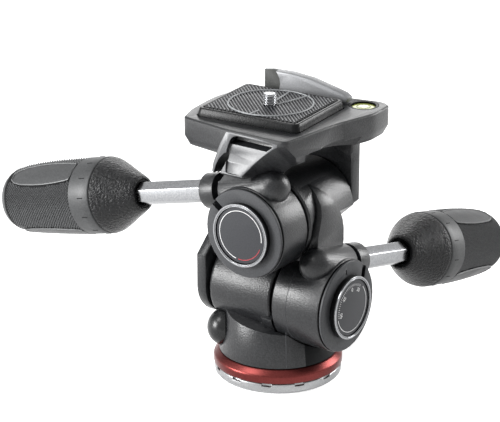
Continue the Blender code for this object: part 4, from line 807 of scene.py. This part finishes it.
def makeGrip(side, start, place, panelTurn):
    body = side + "_grip"
    sleeveBody = side + "_sleeve"
    end = start + grip["coneLength"]
    outer = [(radius * mm, start + along * mm) for along, radius in coneStations]
    inner = [(grip["coreRadius"], end), (grip["coreRadius"], start + grip["lipDepth"]),
             (grip["boreRadius"], start + grip["lipDepth"]), (grip["boreRadius"], start)]
    piece = keep(side + "_grip_bell", turned(outer + inner, place), "coarseNylon", body)
    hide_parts(side + "_grip_cone")

    seam = end + grip["sleeveGap"]
    profile = [(0, seam + sleeveStations[-1][0] * mm)]
    for along, radius in reversed(sleeveStations):
        sunk = grip["bandEnd"] < along * mm < grip["knurlEnd"]
        profile.append((radius * mm - (grip["sink"] if sunk else 0), seam + along * mm))
        if along == grip["bandStation"]:
            edge = sleeveRadius(grip["bandEnd"])
            profile.append((edge - grip["sink"], seam + grip["bandEnd"] + grip["sinkSlope"]))
            profile.append((edge, seam + grip["bandEnd"]))
    floor = start + grip["coreEnd"]
    profile += [(grip["coreRadius"], seam), (grip["coreRadius"], floor), (0, floor)]
    piece = keep(side + "_sleeve_skin", turned(profile, place), "gripRubber", sleeveBody,
                 sharp=math.radians(50))
    back = place.inverted()

    def underKnurl(centre, normal):
        there = back @ centre
        return (grip["bandEnd"] < there.z - seam < grip["knurlEnd"]
                and math.hypot(there.x, there.y) > grip["coreRadius"] + mm)

    paintZones(piece.data, [("grooveRubber", underKnurl)])
    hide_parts(side + "_grip_sleeve")

    panels = [panelTurn + 2 * math.pi * index / grip["panelCount"] for index in range(grip["panelCount"])]
    axis = place.to_3x3() @ Vector((0, 0, 1))
    points = []
    directions = []
    sizes = []
    rows = int((grip["knurlEnd"] - grip["bandEnd"] - grip["rowMargin"]) / grip["rowStep"])
    for row in range(rows):
        along = grip["bandEnd"] + grip["firstRow"] + row * grip["rowStep"]
        radius = sleeveRadius(along)
        for index in range(grip["aroundCount"]):
            angle = 2 * math.pi * (index + 0.5 * (row % 2)) / grip["aroundCount"]
            clear = True
            for panel in panels:
                across = abs((angle - panel + math.pi) % (2 * math.pi) - math.pi) * radius
                if across < (between(panelStations, along / mm) + grip["panelMargin"]) * mm:
                    clear = clear and (along < grip["panelLow"] or along > grip["panelHigh"])
            if clear:
                outward = Vector((*polar(1, angle), 0))
                foot = radius - grip["sink"] - grip["diamondSink"]
                points.append(place @ (outward * foot + Vector((0, 0, seam + along))))
                directions.append(place.to_3x3() @ outward)
                sizes.append(radius / grip["diamondRadius"])
    mesh = bpy.data.meshes.new("points")
    mesh.from_pydata(points, [], [])
    for name, kind, values in (("direction", "FLOAT_VECTOR", directions), ("size", "FLOAT", sizes),
                               ("along", "FLOAT_VECTOR", [axis] * len(points))):
        attribute = mesh.attributes.new(name, kind, "POINT")
        for index, value in enumerate(values):
            if kind == "FLOAT":
                attribute.data[index].value = value
            else:
                attribute.data[index].vector = value
    knurl = runTree(mesh, diamondKnurl, {"Diamond width": grip["diamondWidth"],
                                         "Diamond height": grip["diamondHeight"],
                                         "Finish": finishes["knurlHighlightRubber"]})
    keep(side + "_sleeve_knurl", knurl, None, sleeveBody, sharp=math.radians(20))

    patches = []
    borders = []
    for panel in panels:
        patches.append(thumbPanel(seam, panel, place))
        outline = []
        otherSide = [(along, -half) for along, half in reversed(panelStations)]
        for along, half in [*panelStations, *otherSide]:
            outline.append(place @ onSleeve(seam, panel, half * mm, along * mm, grip["beadLift"]))
        borders.append(outline)
    keep(side + "_sleeve_panels", joined(patches), "gripRubber", sleeveBody)
    keepBeads(side + "_sleeve_beads", borders, grip["beadRadius"], "knurlHighlightRubber", sleeveBody,
              closed=True)
    ticks = []
    for index in range(grip["tickCount"]):
        angle = panelTurn + 2 * math.pi * (index + 0.5) / grip["tickCount"]
        ticks.append([place @ onSleeve(seam, angle, 0, along * mm, grip["tickLift"])
                      for along in grip["tickStations"]])
    keepBeads(side + "_sleeve_ticks", ticks, grip["tickRadius"], "grooveRubber", sleeveBody)


def thumbPanel(seam, angle, place):
    # A closed patch on the sleeve, a little hollow across the middle for the thumb.
    shape = bmesh.new()
    columns = grip["panelColumns"]
    layers = []
    for lift in grip["panelLifts"]:
        rows = []
        for along, half in panelStations:
            row = []
            for column in range(columns + 1):
                share = 2 * column / columns - 1
                hollow = grip["panelHollow"] * (1 - share ** 2)
                there = onSleeve(seam, angle, share * half * mm, along * mm, lift - hollow)
                row.append(shape.verts.new(there))
            rows.append(row)
        layers.append(rows)
    for rows in layers:
        for lower, upper in zip(rows, rows[1:]):
            for column in range(columns):
                shape.faces.new((lower[column], lower[column + 1], upper[column + 1], upper[column]))
    top, bottom = layers
    for index in range(len(top) - 1):
        for column in (0, columns):
            shape.faces.new((top[index][column], top[index + 1][column],
                             bottom[index + 1][column], bottom[index][column]))
    for index in (0, len(top) - 1):
        for column in range(columns):
            shape.faces.new((top[index][column], top[index][column + 1],
                             bottom[index][column + 1], bottom[index][column]))
    return meshFrom(shape, place)


gripPlaces = {  # start along the rod, the rod's place and the turn of the thumb panels
    "tilt": (59.0 * mm, tiltBolt, math.radians(20)),
    "roll": (63.6 * mm, rollBolt, math.radians(-34)),
}
for side, (start, rodPlace, panelTurn) in gripPlaces.items():
    makeGrip(side, start, rodPlace, panelTurn)
print("grips done:", len(gripPlaces))


# Quick release plate: a rubber pad with slanting ridges and a few pale marks

# The pad's ridges are drawn coarser than they are, 1.5 mm apart for 1.2 mm.
plate = {"centre": (-6.6 * mm, 2.8 * mm), "turn": math.radians(5.5), "length": 53.2 * mm,
         "width": 45.4 * mm, "top": 129.8 * mm, "reach": 2.3 * mm, "corner": 1.6 * mm,
         "seatGap": 0.3 * mm, "padTop": 130.2 * mm, "padDepth": 1.1 * mm,
         "ridgePitch": 1.5 * mm, "ridgeRadius": 0.40 * mm, "ridgeHeight": 0.35 * mm,
         "ridgeTurn": math.radians(-48), "ridgeReach": 80 * mm, "ridgesEachSide": 24, "ridgeSteps": 8,
         "ridgeMargin": 0.6 * mm, "shortestRidge": 0.02,  # the last as a share of the reach
         "circle": 19.6 * mm, "circleSteps": 96, "lineRadius": 0.45 * mm, "lineLift": 0.22 * mm,
         "lineMargin": 0.4 * mm, "screwPlace": (-6.0 * mm, 0.9 * mm),
         # the straight lines' ends are in millimetres from the plate's middle
         "lines": (((0.2, 2.5), (-0.8, 18.6)), ((3.6, -1.0), (10.0, 18.4)), ((0.0, -18.6), (0.9, -12.4)))}
platePlace = Matrix.Translation((*plate["centre"], 0)) @ Matrix.Rotation(plate["turn"], 4, "Z")
halfLength = plate["length"] / 2 - plate["reach"] - plate["seatGap"]
halfWidth = plate["width"] / 2 - plate["reach"] - plate["seatGap"]


def roundedBox(halfX, halfY, corner, low, high, place):
    # An upright box with its four upright edges rounded.
    shape = bmesh.new()
    outline = []
    for cornerX, cornerY, start in ((halfX, halfY, 0), (-halfX, halfY, 90), (-halfX, -halfY, 180),
                                    (halfX, -halfY, 270)):
        centreX = cornerX - math.copysign(corner, cornerX)
        centreY = cornerY - math.copysign(corner, cornerY)
        for step in range(7):
            angle = math.radians(start + 15 * step)  # a quarter turn in six parts
            acrossX, acrossY = polar(corner, angle)
            outline.append((centreX + acrossX, centreY + acrossY))
    foot = [shape.verts.new((x, y, low)) for x, y in outline]
    lid = [shape.verts.new((x, y, high)) for x, y in outline]
    shape.faces.new(foot)
    shape.faces.new(lid)
    for index in range(len(outline)):
        shape.faces.new((foot[index - 1], foot[index], lid[index], lid[index - 1]))
    return meshFrom(shape, place)


def clipped(x, y, stepX, stepY, halfX, halfY):
    # The part of a line through this point that lies inside the rectangle, as shares of its step.
    low, high = -1.0, 1.0
    for position, step, half in ((x, stepX, halfX), (y, stepY, halfY)):
        first = (-half - position) / step
        second = (half - position) / step
        low = max(low, min(first, second))
        high = min(high, max(first, second))
    return low, high


padFloor = plate["padTop"] - plate["ridgeHeight"]
pad = roundedBox(halfLength, halfWidth, plate["corner"], plate["top"] - plate["padDepth"], padFloor,
                 platePlace)
piece = keep("ribbed_pad", pad, "grooveRubber", "quick_plate")
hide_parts("plate_pad")
turnX, turnY = polar(plate["ridgeReach"], plate["ridgeTurn"])
sideX = math.sin(plate["ridgeTurn"])
sideY = -math.cos(plate["ridgeTurn"])
ridges = []
for index in range(-plate["ridgesEachSide"], plate["ridgesEachSide"] + 1):
    middleX = sideX * index * plate["ridgePitch"]
    middleY = sideY * index * plate["ridgePitch"]
    low, high = clipped(middleX, middleY, turnX, turnY, halfLength - plate["ridgeMargin"],
                        halfWidth - plate["ridgeMargin"])
    if high - low > plate["shortestRidge"]:
        line = []
        for step in range(plate["ridgeSteps"] + 1):
            share = low + (high - low) * step / plate["ridgeSteps"]
            line.append((middleX + turnX * share, middleY + turnY * share))
        ridges.append(line)
ridgeLines = [[platePlace @ Vector((x, y, padFloor)) for x, y in line] for line in ridges]
keepBeads("pad_ridges", ridgeLines, plate["ridgeRadius"], "padRubber", "quick_plate")

circle = [polar(plate["circle"], 2 * math.pi * step / plate["circleSteps"])
          for step in range(plate["circleSteps"] + 1)]
drawn = [circle] + [[(x * mm, y * mm) for x, y in line] for line in plate["lines"]]
lineHeight = padFloor + plate["lineLift"]
markLines = []
for line in drawn:
    inside = [(x, y) for x, y in line if abs(x) < halfLength - plate["lineMargin"]
              and abs(y) < halfWidth - plate["lineMargin"]]
    if len(inside) > 1:
        markLines.append([platePlace @ Vector((x, y, lineHeight)) for x, y in inside])
keepBeads("pad_marks", markLines, plate["lineRadius"], "padMark", "quick_plate")
print("quick release plate done:", len(ridges), "ridges")


# Camera screw, with its thread drawn turn by turn

thread = {"radius": 3.17 * mm, "minor": 2.55 * mm, "pitch": 1.27 * mm, "foot": 125.0 * mm,
          "top": 135.4 * mm, "headRadius": 6.5 * mm, "headFoot": 122.4 * mm, "headTop": 124.6 * mm,
          "chamfer": 0.7 * mm, "rows": 96,
          "tipCrest": 0.35, "root": 0.15, "flank": 0.7}  # shares of the thread's height and half turn


def threadRadius(radius, height, angle):
    # A wave with its roots and crests cut flat, which gets lower over the tip's chamfer.
    if radius != thread["radius"]:
        return radius
    turn = (height / thread["pitch"] - angle / (2 * math.pi)) % 1
    ramp = abs(2 * turn - 1)
    share = min(1, max(0, (ramp - thread["root"]) / thread["flank"]))
    taper = min(1, max(0, (thread["top"] - height) / thread["chamfer"]))
    crest = thread["minor"] + (thread["radius"] - thread["minor"]) * min(1, thread["tipCrest"] + taper)
    return thread["minor"] + (crest - thread["minor"]) * share


profile = [(0, thread["headFoot"]), (thread["headRadius"], thread["headFoot"]),
           (thread["headRadius"], thread["headTop"]), (thread["minor"], thread["headTop"])]
for row in range(thread["rows"]):
    height = thread["foot"] + (thread["top"] - thread["foot"]) * row / (thread["rows"] - 1)
    profile.append((thread["radius"], height))
profile.append((0, thread["top"]))
screwPlace = Matrix.Translation((*plate["screwPlace"], 0))
piece = keep("camera_thread", turned(profile, screwPlace, steps=48, radiusAt=threadRadius),
             "polishedAluminium", "camera_screw", sharp=math.radians(60))
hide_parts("camera_screw")
print("camera screw done")


# Bubble level: domed spirit, a ring drawn on it and the bubble

level = {"place": (22.6 * mm, 35.6 * mm), "radius": 5.7 * mm, "foot": 121.9 * mm, "top": 125.5 * mm,
         "domeDrop": 0.5 * mm, "domeRise": 0.4 * mm, "domeSteps": 8,
         "mark": 3.1 * mm, "markWidth": 0.35 * mm, "markDrop": 0.16 * mm,
         "markArc": (0, 359.9),  # all the way round but for a gap too thin to see
         "bubble": 1.9 * mm, "bubbleDrops": (0.4 * mm, 0.1 * mm, 0.03 * mm),
         "bubbleFlat": 0.7}  # share of the bubble's radius at its upper rim
levelPlace = Matrix.Translation((*level["place"], 0))
shoulder = level["top"] - level["domeDrop"]
profile = [(0, level["foot"]), (level["radius"], level["foot"]), (level["radius"], shoulder)]
profile += dome(level["radius"], shoulder, level["domeRise"], level["domeSteps"])
piece = keep("level_spirit", turned(profile, levelPlace, steps=72), "levelSpirit", "roll_body")
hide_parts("level_vial")
markBand = arcStrip(level["mark"], level["markWidth"], *level["markArc"],
                    level["top"] - level["markDrop"], levelPlace)
keep("level_circle", markBand, "blackPlasticAndShade", "roll_body")
foot, edge, rim = [level["top"] - drop for drop in level["bubbleDrops"]]
profile = [(0, foot), (level["bubble"], foot), (level["bubble"], edge),
           (level["bubble"] * level["bubbleFlat"], rim), (0, level["top"])]
keep("level_bubble", turned(profile, levelPlace, steps=48), "levelBubble", "roll_body")
print("bubble level done")


# Studio: the camera of the photograph, four lamps, a pale backdrop and a paper floor, in metres

lights = {
    "lamps": {  # place, size and watts
        "keyLowLeft": ((-0.88, -1.08, 0.42), 0.55, 30.0),
        "topLeft": ((-0.45, -0.75, 1.15), 0.5, 9.0),
        "backRight": ((0.66, 1.15, 0.55), 0.6, 16.0),
        "backLeft": ((-0.75, 1.05, 0.60), 0.7, 4.0),
    },
    "lampTarget": (0, 0, 0.07), "worldLight": 0.18, "backdrop": 1.0,
}
view = {"lens": 158.4, "sensor": 36, "farthest": 20, "place": (0.5502, -0.7799, 0.4345),
        "forward": (-0.5509, 0.7583, -0.3486), "right": (0.80902, 0.58779, 0)}
paper = {"reach": 6.0, "colour": (0.86, 0.86, 0.86, 1), "roughness": 0.9,
         "nearGlow": 0.7, "farGlow": 1.0, "glowFrom": 0.5, "glowTo": 1.6}


def seenDirectly(tree):
    # 1 for what the camera sees by itself, in a gloss or through glass, and 0 for the light it gives.
    path = addNode(tree, "ShaderNodeLightPath")
    seen = path.outputs["Is Camera Ray"]
    for name in ("Is Glossy Ray", "Is Transmission Ray"):
        either = addNode(tree, "ShaderNodeMath", {"operation": "ADD", "use_clamp": True},
                         {0: seen, 1: path.outputs[name]})
        seen = either.outputs[0]
    return seen


def studio():
    scene = bpy.context.scene
    scene.view_settings.view_transform = "Standard"
    camera = addObject("camera", bpy.data.cameras.new("camera"))
    camera.data.lens = view["lens"]
    camera.data.sensor_width = view["sensor"]
    camera.data.clip_end = view["farthest"]
    forward = Vector(view["forward"]).normalized()
    right = Vector(view["right"]).normalized()
    upward = right.cross(forward).normalized()
    place = Matrix((right, upward, -forward)).transposed().to_4x4()
    place.translation = Vector(view["place"])
    camera.matrix_world = place
    scene.camera = camera

    for name, (where, size, power) in lights["lamps"].items():
        lamp = bpy.data.lights.new(name, "AREA")
        lamp.shape = "SQUARE"
        lamp.size = size
        lamp.energy = power
        aim = (Vector(lights["lampTarget"]) - Vector(where)).to_track_quat("-Z", "Y")
        addObject(name, lamp).matrix_world = Matrix.Translation(where) @ aim.to_matrix().to_4x4()

    backdrop = bpy.data.worlds.new("paleStudio")
    scene.world = backdrop
    backdrop.use_nodes = True
    tree = backdrop.node_tree
    strength = addNode(tree, "ShaderNodeMapRange", {}, {
        "Value": seenDirectly(tree), "To Min": lights["worldLight"], "To Max": lights["backdrop"]})
    shader = tree.nodes["Background"]
    shader.inputs["Color"].default_value = (1, 1, 1, 1)
    tree.links.new(strength.outputs["Result"], shader.inputs["Strength"])

    floorMesh = bpy.data.meshes.new("floor")
    reach = paper["reach"]
    floorMesh.from_pydata([(-reach, -reach, 0), (reach, -reach, 0), (reach, reach, 0), (-reach, reach, 0)],
                          [], [(0, 1, 2, 3)])
    floor = addObject("floor", floorMesh)
    material, tree, shader = startFinish("palePaperFloor")
    shader.inputs["Base Color"].default_value = paper["colour"]
    shader.inputs["Roughness"].default_value = paper["roughness"]
    shader.inputs["Specular IOR Level"].default_value = 0.0
    # The paper is brighter far out, where no lamp reaches it, so that no horizon shows.
    where = addNode(tree, "ShaderNodeTexCoord").outputs["Object"]
    away = addNode(tree, "ShaderNodeVectorMath", {"operation": "LENGTH"}, {0: where})
    far = addNode(tree, "ShaderNodeMapRange", {}, {
        "Value": away.outputs["Value"], "From Min": paper["glowFrom"], "From Max": paper["glowTo"],
        "To Min": paper["nearGlow"], "To Max": paper["farGlow"]})
    glow = addNode(tree, "ShaderNodeMath", {"operation": "MULTIPLY"},
                   {0: seenDirectly(tree), 1: far.outputs["Result"]})
    shader.inputs["Emission Color"].default_value = (1, 1, 1, 1)
    tree.links.new(glow.outputs[0], shader.inputs["Emission Strength"])
    floorMesh.materials.append(material)


studio()
print("studio done")
